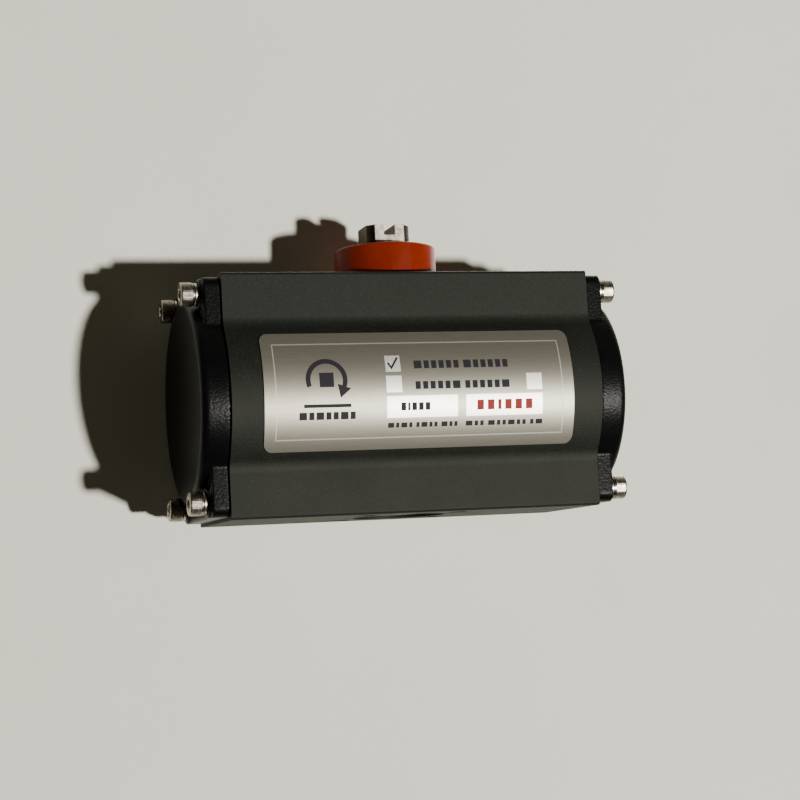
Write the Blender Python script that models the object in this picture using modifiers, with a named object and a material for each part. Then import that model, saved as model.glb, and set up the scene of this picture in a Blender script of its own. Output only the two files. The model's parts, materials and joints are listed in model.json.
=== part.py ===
"""Double-acting rack-and-pinion rotary actuator.

Metres, +Z up along the output shaft, +X along the cylinder. The origin is on the shaft's axis,
in the bottom face that stands on a valve. Each object is one physical piece.
"""

import math

import bmesh
import bpy
from mathutils import Matrix, Vector

MM = 0.001

# Housing
BODY_LENGTH = 0.139
BODY_HEIGHT = 0.088
WING_HALF_WIDTH = 0.029
BULGE_RADIUS = 0.0383
BULGE_FILLET = 0.008
REAR_FLAT_Y = 0.0386
REAR_FLAT_HALF_HEIGHT = 0.020
BORE_RADIUS = 0.0315
BORE_Z = BODY_HEIGHT / 2
BODY_END = BODY_LENGTH / 2
WING_CORNER_RADIUS = 0.0012

# Clearance between neighbours
GAP = 0.0002

# Interfaces
FLANGE_PITCH_CIRCLE = 0.050
FLANGE_THREAD_RADIUS = 0.003
FLANGE_THREAD_DEPTH = 0.009
SPIGOT_RADIUS = 0.0175
SPIGOT_DEPTH = 0.003
TOP_HOLES_X = 0.040
TOP_HOLES_Y = 0.015
M5_RADIUS = 0.0025
M5_HOLE_RADIUS = 0.0028
TOP_HOLE_DEPTH = 0.008
PORT_X = 0.012
PORT_RADIUS = 0.0059
PORT_DEPTH = 0.0052
PORT_THROAT_RADIUS = 0.0022
SIDE_HOLES_X = 0.016
SIDE_HOLES_Z = 0.012
SIDE_HOLE_DEPTH = 0.0065

# Air channel from the second port to both end chambers
CHANNEL_Y = 0.0245
CHANNEL_Z = 0.075
CHANNEL_RADIUS = 0.0018
RISER_RADIUS = 0.0016
CROSS_RADIUS = 0.0014
CROSS_X = 0.0032
CHANNEL_SEAL_RADIUS = 0.0034
CHANNEL_SEAL_DEPTH = 0.0010

# End caps
CAP_FLANGE = 0.0062
CAP_INSET = 0.0012
CAP_CORNER_RADIUS = 0.0035
PAD_HEIGHT = 0.0072
PAD_RADIUS = 0.0054
BOSS_RADIUS = 0.0373
BOSS_HEIGHT = 0.0104
BOSS_ROUNDING = 0.0026
PLUG_RADIUS = 0.0312
PLUG_DEPTH = 0.005
POCKET_RADIUS = 0.024
POCKET_TOP = 0.0066
CAP_GROOVE_ROOT = 0.0294
CAP_GROOVE_TOP = -0.0010
CAP_GROOVE_BOTTOM = -0.0036

# Cap screws and washers
SCREW_Y = 0.020
SCREW_Z = 0.0373
SCREW_LENGTH = 0.020
HEAD_RADIUS = 0.00425
HEAD_HEIGHT = 0.005
HEAD_BASE = 0.0085
HEX_ACROSS_FLATS = 0.004
HEX_DEPTH = 0.0027
SCREW_CHAMFER = 0.0005
THREAD_HOLE_DEPTH = 0.014
WASHER_BASE = 0.0074
WASHER_TOP = 0.0083
WASHER_RADIUS = 0.0041
WASHER_SPLIT = 0.0006

# Rack and pinion
MODULE = 0.0015
TEETH = 14
PRESSURE_ANGLE = math.radians(25)
PITCH_RADIUS = MODULE * TEETH / 2
TIP_RADIUS = PITCH_RADIUS + MODULE
ROOT_RADIUS = PITCH_RADIUS - 1.25 * MODULE
PINION_BACKLASH = 0.00015
RACK_BACKLASH = 0.00010
GEAR_BOTTOM = 0.031
GEAR_TOP = 0.057
RACK_HALF_HEIGHT = 0.011
RACK_BACK = 0.026
RACK_END = -0.030
FIRST_TOOTH = -6
LAST_TOOTH = 6

# Output shaft
SHAFT_BOTTOM = 0.001
LOWER_JOURNAL_RADIUS = 0.014
UPPER_JOURNAL_RADIUS = 0.0109
SHAFT_RADIUS = 0.0101
SHAFT_TOP = 0.1094
SHAFT_CHAMFER = 0.0004
FLATS_BOTTOM = 0.096
FLATS_HALF_WIDTH = 0.0083
SLOT_HALF_WIDTH = 0.0022
SLOT_DEPTH = 0.004
SOCKET_WIDTH = 0.0143
SOCKET_DEPTH = 0.018
JOURNAL_CHAMFER = 0.0008
CIRCLIP_GROOVE_ROOT = 0.0090
CIRCLIP_GROOVE = (0.0912, 0.0928)
LOWER_SEAL_GROOVE = (0.0036, 0.0060)
UPPER_SEAL_GROOVE = (0.0836, 0.0858)
LOWER_SEAL_ROOT = 0.0124
UPPER_SEAL_ROOT = 0.0094

# Bores of the shaft in the body
LOWER_SEAL_BORE = 0.0143
LOWER_BUSH_BORE = 0.0166
LOWER_BUSH_SEAT = 0.0066
UPPER_BUSH_BORE = 0.0132
UPPER_BUSH_SEAT = 0.0822
UPPER_SEAL_BORE = 0.0113
SHAFT_BORE_TOP = 0.020
SHAFT_BORE_BOTTOM = 0.070
TOP_RECESS_RADIUS = 0.0196
TOP_RECESS_FLOOR = 0.0874

# Plain bearings and the stack under the indicator
LOWER_BUSH_INNER = 0.01425
LOWER_BUSH_TOP = 0.0125
UPPER_BUSH_INNER = 0.01115
UPPER_BUSH_BOTTOM = 0.0756
THRUST_INNER_RADIUS = 0.0105
THRUST_BEARING_RADIUS = 0.0150
THRUST_BEARING_TOP = 0.0897
THRUST_WASHER_RADIUS = 0.0145
THRUST_WASHER = (0.0899, 0.0909)
CIRCLIP_RADIUS = 0.0128
CIRCLIP_MOUTH = ((-0.0035, 0.004, 0.0905), (0.0035, 0.015, 0.0935))

# Indicator
INDICATOR_RADIUS = 0.0191
INDICATOR_INNER_RADIUS = 0.0156
INDICATOR_BOTTOM = 0.0884
INDICATOR_ROOF = 0.0978
INDICATOR_TOP = 0.101
INDICATOR_ROUNDING = 0.0011
INDICATOR_FLAT_Y = -0.0187
INDICATOR_FLAT_TURN = math.radians(4)

# Pistons, seen from the right-hand one, which moves along +X
PISTON_RADIUS = 0.0311
PISTON_INNER = 0.0335
PISTON_OUTER = 0.0475
PISTON_DISH_RADIUS = 0.018
PISTON_DISH_DEPTH = 0.004
PISTON_CHAMFER = 0.0005
SEAL_GROOVE = (0.0422, 0.0450)
SEAL_GROOVE_ROOT = 0.0286
GUIDE_GROOVE = (0.0362, 0.0396)
GUIDE_GROOVE_ROOT = 0.0296
RING_RADIUS = 0.0313
PAD_X = (-0.026, -0.004)
PAD_HALF_HEIGHT = 0.009

# Label
LABEL_HALF_LENGTH = 0.058
LABEL_BOTTOM = 0.0229
LABEL_TOP = 0.065
LABEL_INNER_RADIUS = 0.0385
LABEL_OUTER_RADIUS = 0.0388
LABEL_CORNER = 0.003
LABEL_BAND_HALF_ANGLE = 50

# Facets of round pieces
FINE = 40
MEDIUM = 28
SMALL = 16
TINY = 12

# Colours as (R, G, B, 1), roughness, metallic
ANODISED = ((0.046, 0.048, 0.045, 1), 0.55, 0.3)
BLACK_COAT = ((0.012, 0.013, 0.014, 1), 0.42, 0.0)
STAINLESS = ((0.56, 0.54, 0.50, 1), 0.32, 1.0)
SPRING_STEEL = ((0.35, 0.34, 0.33, 1), 0.4, 1.0)
NICKEL_STEEL = ((0.50, 0.48, 0.44, 1), 0.3, 1.0)
ORANGE_PLASTIC = ((0.62, 0.075, 0.012, 1), 0.35, 0.0)
CAST_ALUMINIUM = ((0.52, 0.52, 0.50, 1), 0.45, 1.0)
WHITE_ACETAL = ((0.75, 0.74, 0.70, 1), 0.4, 0.0)
DARK_NYLON = ((0.05, 0.05, 0.055, 1), 0.5, 0.0)
NITRILE = ((0.010, 0.010, 0.010, 1), 0.7, 0.0)
SILVER_LABEL = ((0.60, 0.58, 0.53, 1), 0.4, 0.8)

AXIS_TURN = {
    "+Z": Matrix.Identity(4),
    "+X": Matrix.Rotation(math.pi / 2, 4, "Y"),
    "-X": Matrix.Rotation(-math.pi / 2, 4, "Y"),
}
# Takes a drawing's x, y, z to the world's Y, Z, X
SECTION_TO_WORLD = Matrix(((0, 0, 1, 0), (1, 0, 0, 0), (0, 1, 0, 0), (0, 0, 0, 1)))


def clear_scene():
    for old in list(bpy.data.objects):
        bpy.data.objects.remove(old, do_unlink=True)


def new_collection(name):
    collection = bpy.data.collections.new(name)
    bpy.context.scene.collection.children.link(collection)
    return collection


def add_finish(obj, finish):
    colour, roughness, metallic = finish
    material = bpy.data.materials.new(obj.name)
    material.use_nodes = True
    shader = material.node_tree.nodes["Principled BSDF"]
    shader.inputs["Base Color"].default_value = colour
    shader.inputs["Roughness"].default_value = roughness
    shader.inputs["Metallic"].default_value = metallic
    obj.data.materials.clear()
    obj.data.materials.append(material)
    obj.color = colour


def object_from(name, bm, collection):
    mesh = bpy.data.meshes.new(name)
    bm.to_mesh(mesh)
    bm.free()
    obj = bpy.data.objects.new(name, mesh)
    collection.objects.link(obj)
    return obj


def arc(centre, radius, start, end, steps):
    """Points on an arc between two angles in degrees, both ends included."""
    points = []
    for step in range(steps + 1):
        angle = math.radians(start + (end - start) * step / steps)
        points.append((centre[0] + radius * math.cos(angle), centre[1] + radius * math.sin(angle)))
    return points


def turned(name, profile, collection, steps=MEDIUM, ring=False, axis="+Z"):
    """Turns (radius, height) points about an axis. A ring's profile closes on itself."""
    bm = bmesh.new()
    verts = [bm.verts.new((radius, 0, height)) for radius, height in profile]
    pairs = list(zip(verts, verts[1:]))
    if ring:
        pairs.append((verts[-1], verts[0]))
    for first, second in pairs:
        bm.edges.new((first, second))
    obj = object_from(name, bm, collection)
    screw = obj.modifiers.new("Turn", "SCREW")
    screw.steps = steps
    screw.render_steps = steps
    screw.use_merge_vertices = True
    screw.merge_threshold = 0.00001
    obj.matrix_world = AXIS_TURN[axis]
    return obj


def tube(name, inner, outer, bottom, top, collection, steps=MEDIUM, axis="+Z"):
    profile = [(outer, top), (outer, bottom), (inner, bottom), (inner, top)]
    return turned(name, profile, collection, steps, True, axis)


def extruded(name, outline, start, end, collection, matrix=SECTION_TO_WORLD):
    """Pulls a flat outline from start to end along its own z, then places it by the matrix."""
    curve = bpy.data.curves.new(name, "CURVE")
    curve.dimensions = "2D"
    curve.fill_mode = "BOTH"
    curve.extrude = (end - start) / 2
    spline = curve.splines.new("POLY")
    spline.points.add(len(outline) - 1)
    for point, place in zip(spline.points, outline):
        point.co = (place[0], place[1], 0, 1)
    spline.use_cyclic_u = True
    guide = bpy.data.objects.new(name + "_outline", curve)
    collection.objects.link(guide)
    depsgraph = bpy.context.evaluated_depsgraph_get()
    mesh = bpy.data.meshes.new_from_object(guide.evaluated_get(depsgraph))
    bpy.data.objects.remove(guide, do_unlink=True)
    bm = bmesh.new()
    bm.from_mesh(mesh)
    bpy.data.meshes.remove(mesh)
    bmesh.ops.remove_doubles(bm, verts=bm.verts, dist=0.000001)
    bmesh.ops.translate(bm, verts=bm.verts, vec=(0, 0, (start + end) / 2))
    bmesh.ops.transform(bm, matrix=matrix, verts=bm.verts)
    bmesh.ops.recalc_face_normals(bm, faces=bm.faces)
    return object_from(name, bm, collection)


def cylinders(name, rods, collection, steps=SMALL):
    """One mesh of separate cylinders, each given by its two ends and its radius."""
    bm = bmesh.new()
    for start, end, radius in rods:
        along = Vector(end) - Vector(start)
        middle = (Vector(end) + Vector(start)) / 2
        place = Matrix.Translation(middle) @ along.to_track_quat("Z", "Y").to_matrix().to_4x4()
        bmesh.ops.create_cone(
            bm, cap_ends=True, segments=steps, radius1=radius, radius2=radius, depth=along.length,
            matrix=place,
        )
    return object_from(name, bm, collection)


def blocks(name, boxes, collection, turn=0.0):
    """One mesh of separate boxes, each given by its lowest and highest corners."""
    bm = bmesh.new()
    for low, high in boxes:
        size = Vector(high) - Vector(low)
        middle = (Vector(high) + Vector(low)) / 2
        place = Matrix.Rotation(turn, 4, "Z") @ Matrix.Translation(middle) @ Matrix.Diagonal(size).to_4x4()
        bmesh.ops.create_cube(bm, size=1, matrix=place)
    return object_from(name, bm, collection)


def combine(obj, tool, operation="DIFFERENCE"):
    boolean = obj.modifiers.new(tool.name, "BOOLEAN")
    boolean.operation = operation
    boolean.solver = "EXACT"
    boolean.object = tool
    tool.hide_render = True
    tool.display_type = "WIRE"


def body_section():
    """The housing's section as (y, z): wings, a round bulge in front and a flat behind."""
    reach = WING_HALF_WIDTH + BULGE_FILLET
    rise = math.sqrt((BULGE_RADIUS + BULGE_FILLET) ** 2 - reach**2)
    tangent = math.degrees(math.atan2(rise, reach))
    corner = WING_CORNER_RADIUS
    side = WING_HALF_WIDTH
    slope_end = REAR_FLAT_HALF_HEIGHT + REAR_FLAT_Y - side
    points = arc((-side + corner, BODY_HEIGHT - corner), corner, 90, 180, 2)
    points += arc((-reach, BORE_Z + rise), BULGE_FILLET, 0, -tangent, 4)
    points += arc((0, BORE_Z), BULGE_RADIUS, 180 - tangent, 180 + tangent, 16)[1:-1]
    points += arc((-reach, BORE_Z - rise), BULGE_FILLET, tangent, 0, 4)
    points += arc((-side + corner, corner), corner, 180, 270, 2)
    points += arc((side - corner, corner), corner, 270, 360, 2)
    points += [(side, BORE_Z - slope_end), (REAR_FLAT_Y, BORE_Z - REAR_FLAT_HALF_HEIGHT)]
    points += [(REAR_FLAT_Y, BORE_Z + REAR_FLAT_HALF_HEIGHT), (side, BORE_Z + slope_end)]
    points += arc((side - corner, BODY_HEIGHT - corner), corner, 0, 90, 2)
    return points


def screw_places():
    """(y, z) of the four screws of a cap, with the word that names each."""
    return [
        ("upper_front", -SCREW_Y, BORE_Z + SCREW_Z),
        ("upper_rear", SCREW_Y, BORE_Z + SCREW_Z),
        ("lower_front", -SCREW_Y, BORE_Z - SCREW_Z),
        ("lower_rear", SCREW_Y, BORE_Z - SCREW_Z),
    ]


def make_body(parts, cutters):
    body = extruded("body", body_section(), -BODY_END, BODY_END, parts)
    past_end = BODY_END + MM
    bore = [((-past_end, 0, BORE_Z), (past_end, 0, BORE_Z), BORE_RADIUS)]
    combine(body, cylinders("cut_bore", bore, cutters, FINE))

    lower = [(0, SHAFT_BORE_TOP), (LOWER_BUSH_BORE, SHAFT_BORE_TOP), (LOWER_BUSH_BORE, LOWER_BUSH_SEAT)]
    lower += [(LOWER_SEAL_BORE, LOWER_BUSH_SEAT), (LOWER_SEAL_BORE, SPIGOT_DEPTH)]
    lower += [(SPIGOT_RADIUS, SPIGOT_DEPTH), (SPIGOT_RADIUS, -MM), (0, -MM)]
    combine(body, turned("cut_lower_shaft_bore", lower, cutters))
    over_top = BODY_HEIGHT + MM
    upper = [(0, over_top), (TOP_RECESS_RADIUS, over_top), (TOP_RECESS_RADIUS, TOP_RECESS_FLOOR)]
    upper += [(UPPER_SEAL_BORE, TOP_RECESS_FLOOR), (UPPER_SEAL_BORE, UPPER_BUSH_SEAT)]
    upper += [(UPPER_BUSH_BORE, UPPER_BUSH_SEAT), (UPPER_BUSH_BORE, SHAFT_BORE_BOTTOM)]
    upper += [(0, SHAFT_BORE_BOTTOM)]
    combine(body, turned("cut_upper_shaft_bore", upper, cutters))

    threads = []
    for _, y, z in screw_places():
        for side in (-1, 1):
            start = (side * (BODY_END - THREAD_HOLE_DEPTH), y, z)
            threads.append((start, (side * past_end, y, z), M5_HOLE_RADIUS))
    combine(body, cylinders("cut_cap_threads", threads, cutters, TINY))

    square = FLANGE_PITCH_CIRCLE / 2 / math.sqrt(2)
    faces = []
    for x in (-1, 1):
        for y in (-1, 1):
            foot = (x * square, y * square)
            faces.append(((*foot, -MM), (*foot, FLANGE_THREAD_DEPTH), FLANGE_THREAD_RADIUS))
            head = (x * TOP_HOLES_X, y * TOP_HOLES_Y)
            faces.append(((*head, BODY_HEIGHT - TOP_HOLE_DEPTH), (*head, over_top), M5_RADIUS))
    combine(body, cylinders("cut_flange_threads", faces, cutters, TINY))

    rear = []
    for x in (-1, 1):
        for z in (-1, 1):
            place = (x * SIDE_HOLES_X, BORE_Z + z * SIDE_HOLES_Z)
            start = (place[0], REAR_FLAT_Y - SIDE_HOLE_DEPTH, place[1])
            rear.append((start, (place[0], REAR_FLAT_Y + MM, place[1]), M5_RADIUS))
        start = (x * PORT_X, REAR_FLAT_Y - PORT_DEPTH, BORE_Z)
        rear.append((start, (x * PORT_X, REAR_FLAT_Y + MM, BORE_Z), PORT_RADIUS))
    combine(body, cylinders("cut_rear_face", rear, cutters, SMALL))

    inside_bore = (-PORT_X, BORE_RADIUS - 2 * MM, BORE_Z)
    throat = [(inside_bore, (-PORT_X, REAR_FLAT_Y - 2 * MM, BORE_Z), PORT_THROAT_RADIUS)]
    combine(body, cylinders("cut_port_throat", throat, cutters, TINY))
    channel = [((-past_end, CHANNEL_Y, CHANNEL_Z), (past_end, CHANNEL_Y, CHANNEL_Z), CHANNEL_RADIUS)]
    combine(body, cylinders("cut_channel", channel, cutters, TINY))
    in_port = (PORT_X, REAR_FLAT_Y - 2 * MM, BORE_Z + 2 * MM)
    riser = [(in_port, (PORT_X, CHANNEL_Y, CHANNEL_Z), RISER_RADIUS)]
    combine(body, cylinders("cut_channel_riser", riser, cutters, TINY))
    add_finish(body, ANODISED)


def rounded_rectangle(low, high, radius, steps=3):
    points = arc((high[0] - radius, high[1] - radius), radius, 0, 90, steps)
    points += arc((low[0] + radius, high[1] - radius), radius, 90, 180, steps)
    points += arc((low[0] + radius, low[1] + radius), radius, 180, 270, steps)
    points += arc((high[0] - radius, low[1] + radius), radius, 270, 360, steps)
    return points


def make_end_cap(word, side, parts, cutters):
    """A cap's flange follows the wings, its boss and plug are turned about the bore's axis."""
    name = word + "_end_cap"
    half = WING_HALF_WIDTH - CAP_INSET
    outline = rounded_rectangle((-half, CAP_INSET), (half, BODY_HEIGHT - CAP_INSET), CAP_CORNER_RADIUS)
    ends = sorted((side * (BODY_END + GAP), side * (BODY_END + CAP_FLANGE)))
    cap = extruded(name, outline, ends[0], ends[1], parts)

    rounding = arc((BOSS_RADIUS - BOSS_ROUNDING, BOSS_HEIGHT - BOSS_ROUNDING), BOSS_ROUNDING, 90, 0, 3)
    profile = [(0, BOSS_HEIGHT)] + rounding
    profile += [(BOSS_RADIUS, GAP), (PLUG_RADIUS, GAP), (PLUG_RADIUS, CAP_GROOVE_TOP)]
    profile += [(CAP_GROOVE_ROOT, CAP_GROOVE_TOP), (CAP_GROOVE_ROOT, CAP_GROOVE_BOTTOM)]
    profile += [(PLUG_RADIUS, CAP_GROOVE_BOTTOM), (PLUG_RADIUS, -PLUG_DEPTH), (0, -PLUG_DEPTH)]
    axis = "+X" if side > 0 else "-X"
    boss = turned("join_boss_" + word, profile, cutters, FINE, axis=axis)
    boss.location = (side * BODY_END, 0, BORE_Z)
    combine(cap, boss, "UNION")
    pocket_start = (side * (BODY_END - PLUG_DEPTH - MM), 0, BORE_Z)
    pocket_end = (side * (BODY_END + POCKET_TOP), 0, BORE_Z)
    pocket = [(pocket_start, pocket_end, POCKET_RADIUS)]
    combine(cap, cylinders("cut_pocket_" + word, pocket, cutters, MEDIUM))

    pads = []
    holes = []
    for _, y, z in screw_places():
        inner = side * (BODY_END + 2 * MM)
        pads.append(((inner, y, z), (side * (BODY_END + PAD_HEIGHT), y, z), PAD_RADIUS))
        outer = side * (BODY_END + PAD_HEIGHT + MM)
        holes.append(((side * (BODY_END - MM), y, z), (outer, y, z), M5_HOLE_RADIUS))
    combine(cap, cylinders("join_pads_" + word, pads, cutters), "UNION")
    combine(cap, cylinders("cut_screw_holes_" + word, holes, cutters, TINY))

    mouth = (side * (BODY_END - MM), CHANNEL_Y, CHANNEL_Z)
    seat = (side * (BODY_END + GAP + CHANNEL_SEAL_DEPTH), CHANNEL_Y, CHANNEL_Z)
    combine(cap, cylinders("cut_channel_seat_" + word, [(mouth, seat, CHANNEL_SEAL_RADIUS)], cutters))
    turn_point = (side * (BODY_END + CROSS_X + GAP), CHANNEL_Y, CHANNEL_Z)
    combine(cap, cylinders("cut_channel_end_" + word, [(mouth, turn_point, CHANNEL_RADIUS)], cutters, TINY))
    pocket_side = (side * (BODY_END + CROSS_X), CHANNEL_Y / 2, (CHANNEL_Z + BORE_Z) / 2)
    channel_side = (side * (BODY_END + CROSS_X), CHANNEL_Y, CHANNEL_Z)
    cross = [(channel_side, pocket_side, CROSS_RADIUS)]
    combine(cap, cylinders("cut_channel_cross_" + word, cross, cutters, TINY))
    add_finish(cap, BLACK_COAT)

    seal = tube(
        "cap_seal_" + word, CAP_GROOVE_ROOT + GAP, RING_RADIUS,
        CAP_GROOVE_BOTTOM + GAP, CAP_GROOVE_TOP - GAP, parts, FINE, axis,
    )
    seal.location = (side * BODY_END, 0, BORE_Z)
    add_finish(seal, NITRILE)
    ring = tube(
        "channel_seal_" + word, CHANNEL_RADIUS + GAP, CHANNEL_SEAL_RADIUS - GAP,
        GAP, CHANNEL_SEAL_DEPTH, parts, SMALL, axis,
    )
    ring.location = (side * BODY_END, CHANNEL_Y, CHANNEL_Z)
    add_finish(ring, NITRILE)


def make_screws(word, side, parts, cutters):
    """Four socket-head screws and their split washers on one cap."""
    axis = "+X" if side > 0 else "-X"
    chamfer = SCREW_CHAMFER
    top = HEAD_BASE + HEAD_HEIGHT
    tip = HEAD_BASE - SCREW_LENGTH
    profile = [(0, top), (HEAD_RADIUS - chamfer, top), (HEAD_RADIUS, top - chamfer), (HEAD_RADIUS, HEAD_BASE)]
    profile += [(M5_RADIUS, HEAD_BASE), (M5_RADIUS, tip + chamfer), (M5_RADIUS - chamfer, tip), (0, tip)]
    for place, y, z in screw_places():
        screw = turned("cap_screw_" + word + "_" + place, profile, parts, SMALL, axis=axis)
        screw.location = (side * BODY_END, y, z)
        face = side * (BODY_END + top)
        key = [((face + side * MM, y, z), (face - side * HEX_DEPTH, y, z), HEX_ACROSS_FLATS / math.sqrt(3))]
        combine(screw, cylinders("cut_hex_" + word + "_" + place, key, cutters, 6))
        add_finish(screw, STAINLESS)

        washer = tube(
            "lock_washer_" + word + "_" + place, M5_HOLE_RADIUS, WASHER_RADIUS,
            WASHER_BASE, WASHER_TOP, parts, SMALL, axis,
        )
        washer.location = (side * BODY_END, y, z)
        reach = sorted((side * (BODY_END + WASHER_BASE - MM), side * (BODY_END + WASHER_TOP + MM)))
        low = (reach[0], y - WASHER_SPLIT / 2, z)
        high = (reach[1], y + WASHER_SPLIT / 2, z + 2 * WASHER_RADIUS)
        combine(washer, blocks("cut_split_" + word + "_" + place, [(low, high)], cutters))
        add_finish(washer, SPRING_STEEL)


def involute(angle):
    return math.tan(angle) - angle


def gear_outline():
    """Involute teeth, one of them pointing along +Y, thinned on both flanks for backlash."""
    base = PITCH_RADIUS * math.cos(PRESSURE_ANGLE)
    half_at_pitch = math.pi / (2 * TEETH) - PINION_BACKLASH / PITCH_RADIUS
    flank = [(ROOT_RADIUS, half_at_pitch + involute(PRESSURE_ANGLE))]
    for step in range(5):
        radius = base + (TIP_RADIUS - base) * step / 4
        at_radius = math.acos(min(1.0, base / radius))
        flank.append((radius, half_at_pitch + involute(PRESSURE_ANGLE) - involute(at_radius)))
    points = []
    for tooth in range(TEETH):
        centre = math.pi / 2 + 2 * math.pi * tooth / TEETH
        sides = [(radius, centre - half) for radius, half in flank]
        sides += [(radius, centre + half) for radius, half in reversed(flank)]
        points += [(radius * math.cos(angle), radius * math.sin(angle)) for radius, angle in sides]
    return points


def make_pinion(parts, cutters):
    chamfer = JOURNAL_CHAMFER
    profile = [(0, SHAFT_TOP), (SHAFT_RADIUS - SHAFT_CHAMFER, SHAFT_TOP)]
    profile += [(SHAFT_RADIUS, SHAFT_TOP - SHAFT_CHAMFER), (SHAFT_RADIUS, CIRCLIP_GROOVE[1])]
    profile += [(CIRCLIP_GROOVE_ROOT, CIRCLIP_GROOVE[1]), (CIRCLIP_GROOVE_ROOT, CIRCLIP_GROOVE[0])]
    profile += [(SHAFT_RADIUS, CIRCLIP_GROOVE[0]), (SHAFT_RADIUS, TOP_RECESS_FLOOR)]
    shoulder = TOP_RECESS_FLOOR - chamfer
    profile += [(UPPER_JOURNAL_RADIUS, shoulder), (UPPER_JOURNAL_RADIUS, UPPER_SEAL_GROOVE[1])]
    profile += [(UPPER_SEAL_ROOT, UPPER_SEAL_GROOVE[1]), (UPPER_SEAL_ROOT, UPPER_SEAL_GROOVE[0])]
    profile += [(UPPER_JOURNAL_RADIUS, UPPER_SEAL_GROOVE[0]), (UPPER_JOURNAL_RADIUS, GEAR_TOP)]
    neck = ROOT_RADIUS - GAP
    profile += [(neck, GEAR_TOP - MM), (neck, GEAR_BOTTOM + MM)]
    profile += [(LOWER_JOURNAL_RADIUS - chamfer, GEAR_BOTTOM)]
    profile += [(LOWER_JOURNAL_RADIUS, GEAR_BOTTOM - chamfer), (LOWER_JOURNAL_RADIUS, LOWER_SEAL_GROOVE[1])]
    profile += [(LOWER_SEAL_ROOT, LOWER_SEAL_GROOVE[1]), (LOWER_SEAL_ROOT, LOWER_SEAL_GROOVE[0])]
    profile += [(LOWER_JOURNAL_RADIUS, LOWER_SEAL_GROOVE[0]), (LOWER_JOURNAL_RADIUS, SHAFT_BOTTOM + chamfer)]
    profile += [(LOWER_JOURNAL_RADIUS - chamfer, SHAFT_BOTTOM), (0, SHAFT_BOTTOM)]
    pinion = turned("pinion", profile, parts)
    gear = extruded(
        "join_gear", gear_outline(), GEAR_BOTTOM - 2 * GAP, GEAR_TOP + 2 * GAP, cutters, Matrix.Identity(4)
    )
    combine(pinion, gear, "UNION")

    half = SOCKET_WIDTH / 2
    socket = [((-half, -half, -MM), (half, half, SOCKET_DEPTH))]
    combine(pinion, blocks("cut_socket", socket, cutters))
    combine(pinion, blocks("cut_socket_turned", socket, cutters, math.pi / 4))
    reach = SHAFT_RADIUS + 2 * MM
    width = FLATS_HALF_WIDTH - MM
    flats = []
    for side in (-1, 1):
        near, far = sorted((side * FLATS_HALF_WIDTH, side * reach))
        flats.append(((near, -width, FLATS_BOTTOM), (far, width, SHAFT_TOP + MM)))
        flats.append(((-width, near, FLATS_BOTTOM), (width, far, SHAFT_TOP + MM)))
    combine(pinion, blocks("cut_flats", flats, cutters))
    slot = [((-SLOT_HALF_WIDTH, -reach, SHAFT_TOP - SLOT_DEPTH), (SLOT_HALF_WIDTH, reach, SHAFT_TOP + MM))]
    combine(pinion, blocks("cut_slot", slot, cutters))
    add_finish(pinion, NICKEL_STEEL)


def make_shaft_fittings(parts, cutters):
    """Bushes, seals, thrust bearing and circlip around the pinion."""
    rings = (
        (
            "lower_bush", LOWER_BUSH_INNER, LOWER_BUSH_BORE - GAP,
            LOWER_BUSH_SEAT + GAP, LOWER_BUSH_TOP, WHITE_ACETAL,
        ),
        (
            "upper_bush", UPPER_BUSH_INNER, UPPER_BUSH_BORE - GAP,
            UPPER_BUSH_BOTTOM, UPPER_BUSH_SEAT - GAP, WHITE_ACETAL,
        ),
        (
            "lower_shaft_seal", LOWER_SEAL_ROOT + GAP, LOWER_SEAL_BORE - GAP,
            LOWER_SEAL_GROOVE[0] + GAP, LOWER_SEAL_GROOVE[1] - GAP, NITRILE,
        ),
        (
            "upper_shaft_seal", UPPER_SEAL_ROOT + GAP, UPPER_SEAL_BORE - GAP,
            UPPER_SEAL_GROOVE[0] + GAP, UPPER_SEAL_GROOVE[1] - GAP, NITRILE,
        ),
        (
            "thrust_bearing", THRUST_INNER_RADIUS, THRUST_BEARING_RADIUS,
            TOP_RECESS_FLOOR + GAP, THRUST_BEARING_TOP, WHITE_ACETAL,
        ),
        (
            "thrust_washer", THRUST_INNER_RADIUS, THRUST_WASHER_RADIUS,
            THRUST_WASHER[0], THRUST_WASHER[1], STAINLESS,
        ),
    )
    for name, inner, outer, bottom, top, finish in rings:
        add_finish(tube(name, inner, outer, bottom, top, parts), finish)
    circlip = tube(
        "circlip", CIRCLIP_GROOVE_ROOT + GAP, CIRCLIP_RADIUS,
        CIRCLIP_GROOVE[0] + GAP, CIRCLIP_GROOVE[1] - GAP, parts,
    )
    combine(circlip, blocks("cut_circlip_mouth", [CIRCLIP_MOUTH], cutters))
    add_finish(circlip, SPRING_STEEL)


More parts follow.
